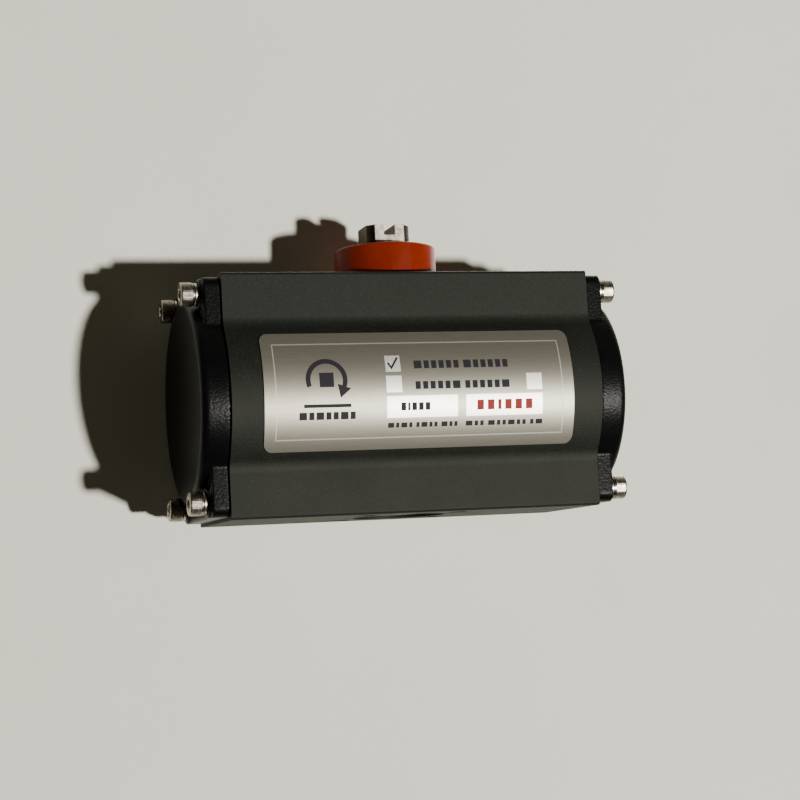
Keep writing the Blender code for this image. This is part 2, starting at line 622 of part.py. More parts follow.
def make_indicator(parts, cutters):
    centre = (INDICATOR_RADIUS - INDICATOR_ROUNDING, INDICATOR_TOP - INDICATOR_ROUNDING)
    edge = arc(centre, INDICATOR_ROUNDING, 90, 0, 2)
    profile = [(0, INDICATOR_TOP)] + edge + [(INDICATOR_RADIUS, INDICATOR_BOTTOM)]
    profile += [(INDICATOR_INNER_RADIUS, INDICATOR_BOTTOM), (INDICATOR_INNER_RADIUS, INDICATOR_ROOF)]
    profile += [(0, INDICATOR_ROOF)]
    ring = turned("indicator_ring", profile, parts, FINE)
    half = FLATS_HALF_WIDTH + GAP
    square = [((-half, -half, INDICATOR_ROOF - MM), (half, half, INDICATOR_TOP + MM))]
    hole = blocks("cut_shaft_hole", square, cutters)
    round_rod = [((0, 0, INDICATOR_ROOF - 2 * MM), (0, 0, INDICATOR_TOP + 2 * MM), SHAFT_RADIUS + GAP)]
    combine(hole, cylinders("trim_shaft_hole", round_rod, cutters, MEDIUM), "INTERSECT")
    combine(ring, hole)
    low = (-INDICATOR_RADIUS / 2, -INDICATOR_RADIUS - MM, INDICATOR_BOTTOM - MM)
    flat = [(low, (INDICATOR_RADIUS / 2, INDICATOR_FLAT_Y, INDICATOR_TOP + MM))]
    combine(ring, blocks("cut_indicator_flat", flat, cutters, INDICATOR_FLAT_TURN))
    add_finish(ring, ORANGE_PLASTIC)


def rack_outline():
    """The right piston's arm from above: teeth towards the pinion, which lies on +Y from it."""
    pitch = math.pi * MODULE
    root = -PITCH_RADIUS - 1.25 * MODULE
    tip = -PITCH_RADIUS + MODULE
    slope = math.tan(PRESSURE_ANGLE)
    half = pitch / 4 - RACK_BACKLASH
    in_head = PISTON_INNER + MM
    points = [(in_head, root), (in_head, -RACK_BACK), (RACK_END, -RACK_BACK), (RACK_END, root)]
    for tooth in range(FIRST_TOOTH, LAST_TOOTH + 1):
        x = (tooth + 0.5) * pitch
        wide = half + slope * 1.25 * MODULE
        narrow = half - slope * MODULE
        points += [(x - wide, root), (x - narrow, tip), (x + narrow, tip), (x + wide, root)]
    return points


def make_piston(word, turn, parts, cutters):
    """Both pistons are one design. The left one is the right one turned half round the shaft."""
    dish_floor = PISTON_OUTER - PISTON_DISH_DEPTH
    profile = [(0, dish_floor), (PISTON_DISH_RADIUS, dish_floor)]
    profile += [(PISTON_DISH_RADIUS + 2 * MM, PISTON_OUTER)]
    profile += [(PISTON_RADIUS - PISTON_CHAMFER, PISTON_OUTER), (PISTON_RADIUS, PISTON_OUTER - PISTON_CHAMFER)]
    for groove, root in ((SEAL_GROOVE, SEAL_GROOVE_ROOT), (GUIDE_GROOVE, GUIDE_GROOVE_ROOT)):
        profile += [(PISTON_RADIUS, groove[1]), (root, groove[1])]
        profile += [(root, groove[0]), (PISTON_RADIUS, groove[0])]
    profile += [(PISTON_RADIUS, PISTON_INNER + PISTON_CHAMFER)]
    profile += [(PISTON_RADIUS - PISTON_CHAMFER, PISTON_INNER), (0, PISTON_INNER)]
    about_shaft = Matrix.Translation((0, 0, BORE_Z)) @ Matrix.Rotation(turn, 4, "Z")
    along_bore = about_shaft @ AXIS_TURN["+X"]

    piston = extruded(
        "piston_" + word, rack_outline(), -RACK_HALF_HEIGHT, RACK_HALF_HEIGHT, parts, Matrix.Identity(4)
    )
    piston.matrix_world = about_shaft
    head = turned("join_head_" + word, profile, cutters, FINE)
    head.matrix_world = along_bore
    combine(piston, head, "UNION")
    add_finish(piston, CAST_ALUMINIUM)

    seal = tube(
        "piston_seal_" + word, SEAL_GROOVE_ROOT + GAP, RING_RADIUS,
        SEAL_GROOVE[0] + GAP, SEAL_GROOVE[1] - GAP, parts, FINE,
    )
    seal.matrix_world = along_bore
    add_finish(seal, NITRILE)
    guide = tube(
        "piston_guide_ring_" + word, GUIDE_GROOVE_ROOT + GAP, RING_RADIUS,
        GUIDE_GROOVE[0] + GAP, GUIDE_GROOVE[1] - GAP, parts, FINE,
    )
    guide.matrix_world = along_bore
    add_finish(guide, DARK_NYLON)

    span = math.degrees(math.asin(PAD_HALF_HEIGHT / PISTON_RADIUS))
    outline = arc((0, 0), PISTON_RADIUS, 180 - span, 180 + span, 8)
    outline += [(-RACK_BACK - GAP, -PAD_HALF_HEIGHT), (-RACK_BACK - GAP, PAD_HALF_HEIGHT)]
    pad = extruded("rack_pad_" + word, outline, PAD_X[0], PAD_X[1], parts)
    pad.matrix_world = about_shaft
    add_finish(pad, WHITE_ACETAL)


def make_label(parts, cutters):
    """A thin plate that follows the bulge, with round corners."""
    span = LABEL_BAND_HALF_ANGLE
    outline = arc((0, BORE_Z), LABEL_OUTER_RADIUS, 180 - span, 180 + span, 20)
    outline += arc((0, BORE_Z), LABEL_INNER_RADIUS, 180 + span, 180 - span, 20)
    label = extruded("label_plate", outline, -LABEL_HALF_LENGTH - MM, LABEL_HALF_LENGTH + MM, parts)
    shape = rounded_rectangle(
        (-LABEL_HALF_LENGTH, LABEL_BOTTOM), (LABEL_HALF_LENGTH, LABEL_TOP), LABEL_CORNER, 4
    )
    facing_front = Matrix.Rotation(math.pi / 2, 4, "X")
    frame = extruded("trim_label", shape, BULGE_RADIUS / 2, BULGE_RADIUS + 5 * MM, cutters, facing_front)
    combine(label, frame, "INTERSECT")
    add_finish(label, SILVER_LABEL)


def shade_round_pieces(collection):
    for obj in collection.objects:
        obj.data.shade_smooth()
        obj.data.set_sharp_from_angle(angle=math.radians(35))


def main():
    clear_scene()
    parts = new_collection("rotary_pneumatic_actuator")
    cutters = new_collection("cutters")
    make_body(parts, cutters)
    for word, side in (("left", -1), ("right", 1)):
        make_end_cap(word, side, parts, cutters)
        make_screws(word, side, parts, cutters)
    make_pinion(parts, cutters)
    make_shaft_fittings(parts, cutters)
    make_indicator(parts, cutters)
    make_piston("right", 0, parts, cutters)
    make_piston("left", math.pi, parts, cutters)
    make_label(parts, cutters)
    shade_round_pieces(parts)


main()
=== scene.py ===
"""Looks of the rotary pneumatic actuator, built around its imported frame.

Metres, +Z along the output shaft, +X along the cylinder, the label faces -Y.
"""

import json
import math

import bmesh
import bpy
from mathutils import Matrix, Vector


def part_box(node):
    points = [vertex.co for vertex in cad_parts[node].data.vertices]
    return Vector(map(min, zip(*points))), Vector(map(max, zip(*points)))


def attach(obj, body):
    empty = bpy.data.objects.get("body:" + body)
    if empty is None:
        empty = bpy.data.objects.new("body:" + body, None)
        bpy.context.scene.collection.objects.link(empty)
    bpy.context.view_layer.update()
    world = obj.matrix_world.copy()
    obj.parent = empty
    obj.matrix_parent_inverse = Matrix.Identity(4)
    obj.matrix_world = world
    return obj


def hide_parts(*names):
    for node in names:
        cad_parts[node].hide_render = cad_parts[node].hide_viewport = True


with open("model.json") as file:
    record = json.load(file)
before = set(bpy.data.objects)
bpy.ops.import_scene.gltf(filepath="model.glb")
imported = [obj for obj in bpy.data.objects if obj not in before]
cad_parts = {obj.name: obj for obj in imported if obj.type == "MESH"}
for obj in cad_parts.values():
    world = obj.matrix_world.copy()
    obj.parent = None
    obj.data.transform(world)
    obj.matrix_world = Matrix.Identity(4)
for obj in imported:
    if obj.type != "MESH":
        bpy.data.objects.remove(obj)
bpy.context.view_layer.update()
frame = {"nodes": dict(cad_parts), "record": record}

MM = 0.001

# Places and sizes that come from the frame
BODY_LOW, BODY_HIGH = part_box("body")
BODY_END = BODY_HIGH.x
BODY_HEIGHT = BODY_HIGH.z
BORE_Z = BODY_HEIGHT / 2
BULGE_RADIUS = -BODY_LOW.y
REAR_Y = BODY_HIGH.y
CAP_LOW, CAP_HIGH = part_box("right_end_cap")
BOSS_HEIGHT = CAP_HIGH.x - BODY_END
PLUG_DEPTH = BODY_END - CAP_LOW.x
BOSS_RADIUS = -CAP_LOW.y
SCREW_LOW, SCREW_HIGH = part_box("cap_screw_right_upper_rear")
SCREW_Y = (SCREW_LOW.y + SCREW_HIGH.y) / 2
SCREW_Z = (SCREW_LOW.z + SCREW_HIGH.z) / 2 - BORE_Z
HEAD_RADIUS = (SCREW_HIGH.y - SCREW_LOW.y) / 2
HEAD_TOP = SCREW_HIGH.x - BODY_END
SCREW_LENGTH = SCREW_HIGH.x - SCREW_LOW.x
WASHER_LOW, WASHER_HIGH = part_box("lock_washer_right_upper_rear")
RING_LOW, RING_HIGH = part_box("indicator_ring")
RING_RADIUS = RING_HIGH.x
SHAFT_LOW, SHAFT_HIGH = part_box("pinion")
SHAFT_TOP = SHAFT_HIGH.z
SHAFT_BOTTOM = SHAFT_LOW.z
LOWER_JOURNAL_RADIUS = SHAFT_HIGH.x
LABEL_LOW, LABEL_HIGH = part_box("label_plate")
LABEL_RADIUS = -LABEL_LOW.y

# Sizes that the frame's boxes don't give, as in the CAD. The body:
GAP = 0.2 * MM
WING_HALF_WIDTH = 29 * MM
WING_CORNER_RADIUS = 1.2 * MM
BULGE_FILLET = 8 * MM
REAR_FLAT_HALF_HEIGHT = 20 * MM
BORE_RADIUS = 31.5 * MM

# The shaft's bores, from below and from above
SPIGOT_RADIUS = 17.5 * MM
SPIGOT_DEPTH = 3 * MM
LOWER_SEAL_BORE = 14.3 * MM
LOWER_BUSH_BORE = 16.6 * MM
LOWER_BUSH_SEAT = 6.6 * MM
SHAFT_BORE_TOP = 20 * MM
SHAFT_BORE_BOTTOM = 70 * MM
UPPER_BUSH_BORE = 13.2 * MM
UPPER_BUSH_SEAT = 82.2 * MM
UPPER_SEAL_BORE = 11.3 * MM
TOP_RECESS_RADIUS = 19.6 * MM
TOP_RECESS_FLOOR = 87.4 * MM

# Ports, holes and the air channel
FLANGE_PITCH_CIRCLE = 50 * MM
FLANGE_HOLE_DEPTH = 9 * MM
TOP_HOLES_X = 40 * MM
TOP_HOLES_Y = 15 * MM
TOP_HOLE_DEPTH = 8 * MM
SIDE_HOLES_X = 16 * MM
SIDE_HOLES_Z = 12 * MM
SIDE_HOLE_DEPTH = 6.5 * MM
PORT_X = 12 * MM
PORT_DEPTH = 5.2 * MM
PORT_THROAT_RADIUS = 2.2 * MM
CHANNEL_Y = 24.5 * MM
CHANNEL_Z = 75 * MM
CHANNEL_RADIUS = 1.8 * MM
RISER_RADIUS = 1.6 * MM
CAP_HOLE_DEPTH = 14 * MM
M5_RADIUS = 2.5 * MM
M5_HOLE_RADIUS = 2.8 * MM

# The end caps and their screws
CAP_FLANGE = 6.2 * MM
CAP_INSET = 1.2 * MM
CAP_CORNER_RADIUS = 3.5 * MM
PAD_HEIGHT = 7.2 * MM
PAD_RADIUS = 5.4 * MM
BOSS_ROUNDING = 2.6 * MM
PLUG_RADIUS = 31.2 * MM
POCKET_RADIUS = 24 * MM
POCKET_START = -6 * MM
POCKET_TOP = 6.6 * MM
CAP_GROOVE_ROOT = 29.4 * MM
CAP_GROOVE_TOP = -1.0 * MM
CAP_GROOVE_BOTTOM = -3.6 * MM
HEAD_HEIGHT = 5 * MM
HEX_ACROSS_FLATS = 4 * MM

# The shaft, the indicator and the label
SHAFT_RADIUS = 10.1 * MM
UPPER_JOURNAL_RADIUS = 10.9 * MM
SHAFT_CHAMFER = 0.4 * MM
JOURNAL_CHAMFER = 0.8 * MM
CIRCLIP_GROOVE = (91.2 * MM, 92.8 * MM)
CIRCLIP_GROOVE_ROOT = 9 * MM
UPPER_SEAL_GROOVE = (83.6 * MM, 85.8 * MM)
UPPER_SEAL_ROOT = 9.4 * MM
LOWER_SEAL_GROOVE = (3.6 * MM, 6 * MM)
LOWER_SEAL_ROOT = 12.4 * MM
GEAR_BOTTOM = 31 * MM
GEAR_TOP = 57 * MM
FLATS_HALF_WIDTH = 8.3 * MM
FLATS_BOTTOM = 96 * MM
SLOT_HALF_WIDTH = 2.2 * MM
SLOT_DEPTH = 4 * MM
SOCKET_HALF_WIDTH = 7.15 * MM
SOCKET_DEPTH = 18 * MM
INDICATOR_INNER_RADIUS = 15.6 * MM
INDICATOR_ROOF = 97.8 * MM
INDICATOR_ROUNDING = 1.1 * MM
INDICATOR_FLAT_Y = -18.7 * MM
INDICATOR_FLAT_TURN = math.radians(4)
LABEL_CORNER = 3 * MM

# Threads and prints, which the CAD does without
M5_PITCH = 0.8 * MM
M5_TAP_RADIUS = 2.1 * MM
M6_PITCH = 1.0 * MM
M6_TAP_RADIUS = 2.6 * MM
PORT_PITCH = 1.0 * MM
PORT_TAP_RADIUS = 5.0 * MM
INK_THICKNESS = 0.03 * MM
PRINT_LIFT = 0.06 * MM
ENTRY_LIFT = 0.10 * MM


# ---------------------------------------------------------------- shapes


def arc(centre, radius, start, end, steps):
    """Points on an arc between two angles in degrees, both ends included."""
    points = []
    for step in range(steps + 1):
        angle = math.radians(start + (end - start) * step / steps)
        points.append((centre[0] + radius * math.cos(angle), centre[1] + radius * math.sin(angle)))
    return points


def object_from(name, bm):
    bmesh.ops.recalc_face_normals(bm, faces=bm.faces)
    mesh = bpy.data.meshes.new(name)
    bm.to_mesh(mesh)
    bm.free()
    obj = bpy.data.objects.new(name, mesh)
    bpy.context.scene.collection.objects.link(obj)
    return obj


def lathe(name, profile, steps, axis="Z", place=(0, 0, 0)):
    """Turns (radius, height) points about an axis. A radius of zero makes a pole."""
    bm = bmesh.new()
    rows = []
    for radius, height in profile:
        if radius < 1e-9:
            rows.append([bm.verts.new((0, 0, height))])
            continue
        angles = [2 * math.pi * step / steps for step in range(steps)]
        rows.append([bm.verts.new((radius * math.cos(a), radius * math.sin(a), height)) for a in angles])
    for first, second in zip(rows, rows[1:]):
        for step in range(steps):
            after = (step + 1) % steps
            corners = [first[step % len(first)], first[after % len(first)]]
            corners += [second[after % len(second)], second[step % len(second)]]
            unique = list(dict.fromkeys(corners))
            if len(unique) > 2:
                bm.faces.new(unique)
    turn = {"Z": 0, "X": math.pi / 2, "-X": -math.pi / 2}[axis]
    moved = Matrix.Translation(place) @ Matrix.Rotation(turn, 4, "Y")
    bmesh.ops.transform(bm, matrix=moved, verts=bm.verts)
    return object_from(name, bm)


# A drawing in the Y-Z section pulled along X, in the X-Z front pulled along Y, or in the X-Y plan along Z
PLANES = {
    "section": Matrix(((0, 0, 1, 0), (1, 0, 0, 0), (0, 1, 0, 0), (0, 0, 0, 1))),
    "front": Matrix(((1, 0, 0, 0), (0, 0, 1, 0), (0, 1, 0, 0), (0, 0, 0, 1))),
    "plan": Matrix.Identity(4),
}


def prism(name, outlines, start, end, plane="section"):
    """Pulls one or more flat outlines from start to end."""
    bm = bmesh.new()
    for outline in outlines:
        bottom = [bm.verts.new((x, y, start)) for x, y in outline]
        top = [bm.verts.new((x, y, end)) for x, y in outline]
        bm.faces.new(bottom)
        bm.faces.new(top)
        for index in range(len(outline)):
            after = (index + 1) % len(outline)
            bm.faces.new((bottom[index], bottom[after], top[after], top[index]))
    bmesh.ops.transform(bm, matrix=PLANES[plane], verts=bm.verts)
    return object_from(name, bm)


def rods(name, items, steps):
    """Separate cylinders in one mesh, each (start, end, radius)."""
    bm = bmesh.new()
    for start, end, radius in items:
        along = Vector(end) - Vector(start)
        middle = (Vector(end) + Vector(start)) / 2
        place = Matrix.Translation(middle) @ along.to_track_quat("Z", "Y").to_matrix().to_4x4()
        bmesh.ops.create_cone(
            bm, cap_ends=True, segments=steps, radius1=radius, radius2=radius, depth=along.length,
            matrix=place,
        )
    return object_from(name, bm)


def blocks(name, boxes, turn=0.0):
    """Separate boxes in one mesh, each given by two corners."""
    bm = bmesh.new()
    for low, high in boxes:
        size = Vector(high) - Vector(low)
        middle = (Vector(high) + Vector(low)) / 2
        place = Matrix.Rotation(turn, 4, "Z") @ Matrix.Translation(middle) @ Matrix.Diagonal(size).to_4x4()
        bmesh.ops.create_cube(bm, size=1, matrix=place)
    return object_from(name, bm)


def apply_all(obj):
    """Keeps what the modifiers make as the object's own mesh."""
    graph = bpy.context.evaluated_depsgraph_get()
    mesh = bpy.data.meshes.new_from_object(obj.evaluated_get(graph))
    old = obj.data
    obj.modifiers.clear()
    obj.data = mesh
    bpy.data.meshes.remove(old)
    return obj


def combine(obj, tool, operation="DIFFERENCE"):
    boolean = obj.modifiers.new("combine", "BOOLEAN")
    boolean.operation = operation
    boolean.solver = "EXACT"
    boolean.object = tool
    apply_all(obj)
    bpy.data.objects.remove(tool, do_unlink=True)
    return obj


def soften(obj, width):
    """Rounds the sharp edges and shades the piece smooth."""
    bevel = obj.modifiers.new("soften", "BEVEL")
    bevel.width = width
    bevel.segments = 2
    bevel.limit_method = "ANGLE"
    bevel.angle_limit = math.radians(30)
    obj.data.shade_smooth()
    return apply_all(obj)


def even_normals(obj):
    """Lets the large faces decide the shading, so that flats stay flat beside their rounded edges."""
    weighted = obj.modifiers.new("even", "WEIGHTED_NORMAL")
    weighted.keep_sharp = True
    return apply_all(obj)


def smooth(obj, angle):
    """Shades the piece smooth, except at edges sharper than an angle in degrees."""
    obj.data.shade_smooth()
    obj.data.set_sharp_from_angle(angle=math.radians(angle))
    return obj


# ---------------------------------------------------------------- materials


class Nodes:
    """A small helper that builds one material's node tree."""

    def __init__(self, name):
        self.material = bpy.data.materials.new(name)
        self.material.use_nodes = True
        self.tree = self.material.node_tree
        self.shader = self.tree.nodes["Principled BSDF"]
        self.place = self.add("ShaderNodeTexCoord").outputs["Object"]

    def add(self, kind, **settings):
        node = self.tree.nodes.new(kind)
        for key, value in settings.items():
            setattr(node, key, value)
        return node

    def link(self, source, target):
        self.tree.links.new(source, target)

    def stretched(self, scale):
        mapping = self.add("ShaderNodeMapping")
        mapping.inputs["Scale"].default_value = scale
        self.link(self.place, mapping.inputs["Vector"])
        return mapping.outputs["Vector"]

    def noise(self, scale, detail=3.0, roughness=0.55, vector=None):
        node = self.add("ShaderNodeTexNoise")
        node.inputs["Scale"].default_value = scale
        node.inputs["Detail"].default_value = detail
        node.inputs["Roughness"].default_value = roughness
        self.link(vector or self.place, node.inputs["Vector"])
        return node.outputs["Fac"]

    def grains(self, scale):
        node = self.add("ShaderNodeTexVoronoi", feature="SMOOTH_F1")
        node.inputs["Scale"].default_value = scale
        self.link(self.place, node.inputs["Vector"])
        return node.outputs["Distance"]

    def fit(self, value, low, high, to_low, to_high):
        node = self.add("ShaderNodeMapRange")
        for key, number in zip(("From Min", "From Max", "To Min", "To Max"), (low, high, to_low, to_high)):
            node.inputs[key].default_value = number
        self.link(value, node.inputs["Value"])
        return node.outputs["Result"]

    def mix(self, factor, first, second):
        node = self.add("ShaderNodeMix", data_type="RGBA")
        self.link(factor, node.inputs["Factor"])
        for socket, value in ((node.inputs[6], first), (node.inputs[7], second)):
            if isinstance(value, tuple):
                socket.default_value = value
            else:
                self.link(value, socket)
        return node.outputs[2]

    def sum(self, first, second, share=1.0):
        node = self.add("ShaderNodeMath", operation="MULTIPLY_ADD")
        self.link(second, node.inputs[0])
        node.inputs[1].default_value = share
        self.link(first, node.inputs[2])
        return node.outputs[0]

    def bump(self, height, strength, distance):
        node = self.add("ShaderNodeBump")
        node.inputs["Strength"].default_value = strength
        node.inputs["Distance"].default_value = distance
        self.link(height, node.inputs["Height"])
        self.link(node.outputs["Normal"], self.shader.inputs["Normal"])

    def colour(self, value):
        self.link(value, self.shader.inputs["Base Color"])

    def roughness(self, value):
        self.link(value, self.shader.inputs["Roughness"])

    def fixed(self, **values):
        for key, value in values.items():
            self.shader.inputs[key.replace("_", " ")].default_value = value


def rgb(red, green, blue):
    return (red, green, blue, 1.0)


def anodised():
    """Dark grey hard-anodised extrusion: cloudy, with a fine grain and faint lines along X."""
    n = Nodes("hard_anodised_aluminium")
    cloud = n.noise(55, 5, 0.6)
    grain = n.noise(1700, 2, 0.6)
    lines = n.noise(900, 2, 0.5, n.stretched((0.03, 1.0, 1.0)))
    tone = n.mix(n.fit(cloud, 0.3, 0.7, 0, 1), rgb(0.0022, 0.0027, 0.0020), rgb(0.0048, 0.0053, 0.0043))
    specks = n.fit(grain, 0.50, 0.74, 0, 0.6)
    n.colour(n.mix(specks, tone, rgb(0.021, 0.022, 0.018)))
    n.roughness(n.fit(n.sum(cloud, grain, 0.6), 0.5, 1.1, 0.60, 0.68))
    n.bump(n.sum(grain, lines, 0.1), 0.55, 0.00008)
    n.fixed(Specular_IOR_Level=0.225, Specular_Tint=rgb(0.95, 1.0, 0.89))
    return n.material


def black_coating():
    """Black coat on a die casting, with the coarse sparkle of the cast skin under it."""
    n = Nodes("black_coated_casting")
    grain = n.grains(1300)
    fine = n.noise(2600, 3, 0.6)
    cloud = n.noise(70, 4, 0.6)
    n.colour(n.mix(n.fit(cloud, 0.35, 0.7, 0, 1), rgb(0.0016, 0.0019, 0.0020), rgb(0.0034, 0.0037, 0.0036)))
    n.roughness(n.fit(fine, 0.35, 0.7, 0.29, 0.40))
    n.bump(n.sum(grain, fine, 0.6), 0.55, 0.00012)
    n.fixed(Specular_IOR_Level=0.065)
    return n.material


def stainless():
    """Rolled stainless steel of the cap screws, a little dulled and stained."""
    n = Nodes("stainless_steel")
    stain = n.noise(420, 4, 0.6)
    fine = n.noise(3000, 2, 0.5)
    n.colour(n.mix(n.fit(stain, 0.36, 0.64, 0, 1), rgb(0.36, 0.335, 0.29), rgb(0.17, 0.150, 0.120)))
    n.roughness(n.fit(fine, 0.3, 0.7, 0.22, 0.33))
    n.bump(fine, 0.12, 0.00003)
    n.fixed(Metallic=1.0)
    return n.material


def spring_steel():
    n = Nodes("spring_steel")
    stain = n.noise(600, 4, 0.6)
    n.colour(n.mix(n.fit(stain, 0.35, 0.7, 0, 1), rgb(0.50, 0.48, 0.44), rgb(0.22, 0.20, 0.17)))
    n.roughness(n.fit(stain, 0.3, 0.7, 0.25, 0.42))
    n.bump(stain, 0.2, 0.00003)
    n.fixed(Metallic=1.0)
    return n.material


def nickel_steel():
    """Drive shaft steel, dark all over, with painted shade on the round sides and a painted highlight on
    the two flats that the slot runs out of.
    """
    n = Nodes("drive_shaft_steel")
    wear = n.noise(420, 5, 0.6)
    marks = n.noise(1500, 2, 0.5, n.stretched((0.25, 0.25, 1.0)))
    from_axis = n.add("ShaderNodeVectorMath", operation="LENGTH")
    n.link(n.stretched((1.0, 1.0, 0.0)), from_axis.inputs[0])
    # Mask of the round sides, which take a painted shade: the darkest tone below.
    skin = (SHAFT_RADIUS - 0.12 * MM, SHAFT_RADIUS - 0.04 * MM)
    turned = n.fit(from_axis.outputs["Value"], *skin, 0, 1)
    normal = n.add("ShaderNodeSeparateXYZ")
    n.link(n.add("ShaderNodeTexCoord").outputs["Normal"], normal.inputs[0])
    towards_slot = n.add("ShaderNodeMath", operation="ABSOLUTE")
    n.link(normal.outputs["Y"], towards_slot.inputs[0])
    # The two flats facing along Y take a painted highlight.
    painted_highlight_flats = n.fit(towards_slot.outputs[0], 0.85, 0.95, 0, 1)
    painted_highlight_steel = n.mix(n.fit(wear, 0.42, 0.6, 0, 1), rgb(0.46, 0.435, 0.385), rgb(0.24, 0.22, 0.185))
    dull = n.mix(n.fit(wear, 0.4, 0.7, 0, 1), rgb(0.150, 0.125, 0.100), rgb(0.085, 0.068, 0.052))
    # Painted shade, put on the round sides.
    dark = n.mix(n.fit(wear, 0.4, 0.7, 0, 1), rgb(0.060, 0.048, 0.038), rgb(0.030, 0.024, 0.019))
    n.colour(n.mix(turned, n.mix(painted_highlight_flats, dull, painted_highlight_steel), dark))
    n.roughness(n.fit(marks, 0.3, 0.7, 0.34, 0.46))
    n.bump(marks, 0.35, 0.00006)
    n.fixed(Metallic=1.0)
    return n.material


def orange_plastic():
    """Moulded orange-red nylon with slow colour drift and a soft gloss."""
    n = Nodes("orange_plastic")
    drift = n.noise(90, 3, 0.5)
    skin = n.noise(1400, 2, 0.5)
    n.colour(n.mix(n.fit(drift, 0.3, 0.7, 0, 1), rgb(0.142, 0.0085, 0.0006), rgb(0.182, 0.0145, 0.0009)))
    n.roughness(n.fit(skin, 0.3, 0.7, 0.34, 0.46))
    n.bump(skin, 0.12, 0.00004)
    n.fixed(Subsurface_Weight=0.5, Subsurface_Scale=0.004, Specular_IOR_Level=0.07)
    return n.material


def label_foil():
    """Silver foil, matt, with a very fine brushed grain along X."""
    n = Nodes("label_foil")
    brushed = n.noise(2600, 2, 0.6, n.stretched((0.06, 1.0, 1.0)))
    fine = n.noise(3500, 2, 0.6)
    n.colour(n.mix(n.fit(brushed, 0.3, 0.7, 0, 1), rgb(0.196, 0.189, 0.155), rgb(0.222, 0.213, 0.174)))
    n.roughness(n.fit(fine, 0.3, 0.7, 0.41, 0.45))
    n.bump(n.sum(brushed, fine, 0.5), 0.07, 0.00003)
    n.fixed(Metallic=0.74)
    return n.material


def ink(name, colour, shine):
    """Screen-printed ink with the mottle it dries to. Shine lets it gleam like the foil under it."""
    n = Nodes(name)
    mottle = n.noise(1800, 3, 0.6)
    darker = tuple(0.85 * part for part in colour[:3]) + (1.0,)
    n.colour(n.mix(n.fit(mottle, 0.35, 0.65, 0, 1), darker, colour))
    n.roughness(n.fit(mottle, 0.3, 0.7, 0.60 - 0.18 * shine, 0.70 - 0.22 * shine))
    n.bump(mottle, 0.08, 0.00002)
    n.fixed(Specular_IOR_Level=0.12, Metallic=0.7 * shine)
    return n.material


def cast_aluminium():
    n = Nodes("machined_aluminium")
    turning = n.noise(1200, 2, 0.5, n.stretched((1.0, 0.05, 0.05)))
    stain = n.noise(120, 4, 0.6)
    n.colour(n.mix(n.fit(stain, 0.35, 0.7, 0, 1), rgb(0.62, 0.62, 0.60), rgb(0.46, 0.46, 0.45)))
    n.roughness(n.fit(turning, 0.3, 0.7, 0.26, 0.44))
    n.bump(turning, 0.2, 0.00005)
    n.fixed(Metallic=1.0)
    return n.material


def moulded(name, light, dark, low, high):
    """Plain moulded plastic or rubber: a faint drift in tone and a fine skin."""
    n = Nodes(name)
    drift = n.noise(150, 4, 0.6)
    skin = n.noise(1800, 2, 0.5)
    n.colour(n.mix(n.fit(drift, 0.3, 0.7, 0, 1), light, dark))
    n.roughness(n.fit(skin, 0.3, 0.7, low, high))
    n.bump(skin, 0.15, 0.00004)
    return n.material


FINISH = {
    "body_anodised": anodised(),
    "cap_black": black_coating(),
    "screw_stainless": stainless(),
    "washer_steel": spring_steel(),
    "shaft_steel": nickel_steel(),
    "indicator_orange": orange_plastic(),
    "piston_aluminium": cast_aluminium(),
    "acetal": moulded("natural_acetal", rgb(0.72, 0.70, 0.64), rgb(0.60, 0.58, 0.52), 0.35, 0.5),
    "nylon_dark": moulded("filled_nylon", rgb(0.05, 0.05, 0.055), rgb(0.03, 0.03, 0.034), 0.4, 0.6),
    "nitrile": moulded("nitrile_rubber", rgb(0.014, 0.014, 0.014), rgb(0.008, 0.008, 0.008), 0.5, 0.7),
    "label_silver": label_foil(),
}


def finish(obj, slot, body, *nodes):
    """Gives a new piece its material and its body, and hides the CAD nodes it stands for."""
    obj.data.materials.clear()
    obj.data.materials.append(FINISH[slot])
    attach(obj, body)
    if nodes:
        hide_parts(*nodes)
    return obj


# ---------------------------------------------------------------- housing


def threaded_rod(foot, top, radius, pitch, direction):
    """A cutter with ridges like a tapped hole's, from the hole's floor to past its mouth."""
    foot = Vector(foot)
    depth = (Vector(top) - foot).length
    profile = [(0, 0), (radius * 0.6, 0.4 * pitch)]
    turns = int((depth - pitch) / pitch)
    for turn in range(turns):
        height = (turn + 1) * pitch
        profile += [(radius, height), (radius + 0.30 * pitch, height + pitch / 2)]
    mouth = depth - 0.5 * MM
    profile += [(radius, mouth - 0.6 * MM), (radius + 0.9 * MM, mouth + 0.3 * MM)]
    profile += [(radius + 0.9 * MM, depth + MM), (0, depth + MM)]
    rod = lathe("cut_thread", profile, 24)
    turn = Vector(direction).to_track_quat("Z", "Y").to_matrix().to_4x4()
    rod.data.transform(Matrix.Translation(foot) @ turn)
    return rod


def body_section():
    reach = WING_HALF_WIDTH + BULGE_FILLET
    rise = math.sqrt((BULGE_RADIUS + BULGE_FILLET) ** 2 - reach**2)
    tangent = math.degrees(math.atan2(rise, reach))
    corner = WING_CORNER_RADIUS
    side = WING_HALF_WIDTH
    slope_end = REAR_FLAT_HALF_HEIGHT + REAR_Y - side
    points = arc((-side + corner, BODY_HEIGHT - corner), corner, 90, 180, 5)
    points += arc((-reach, BORE_Z + rise), BULGE_FILLET, 0, -tangent, 12)
    points += arc((0, BORE_Z), BULGE_RADIUS, 180 - tangent, 180 + tangent, 48)[1:-1]
    points += arc((-reach, BORE_Z - rise), BULGE_FILLET, tangent, 0, 12)
    points += arc((-side + corner, corner), corner, 180, 270, 5)
    points += arc((side - corner, corner), corner, 270, 360, 5)
    points += [(side, BORE_Z - slope_end), (REAR_Y, BORE_Z - REAR_FLAT_HALF_HEIGHT)]
    points += [(REAR_Y, BORE_Z + REAR_FLAT_HALF_HEIGHT), (side, BORE_Z + slope_end)]
    points += arc((side - corner, BODY_HEIGHT - corner), corner, 0, 90, 5)
    return points


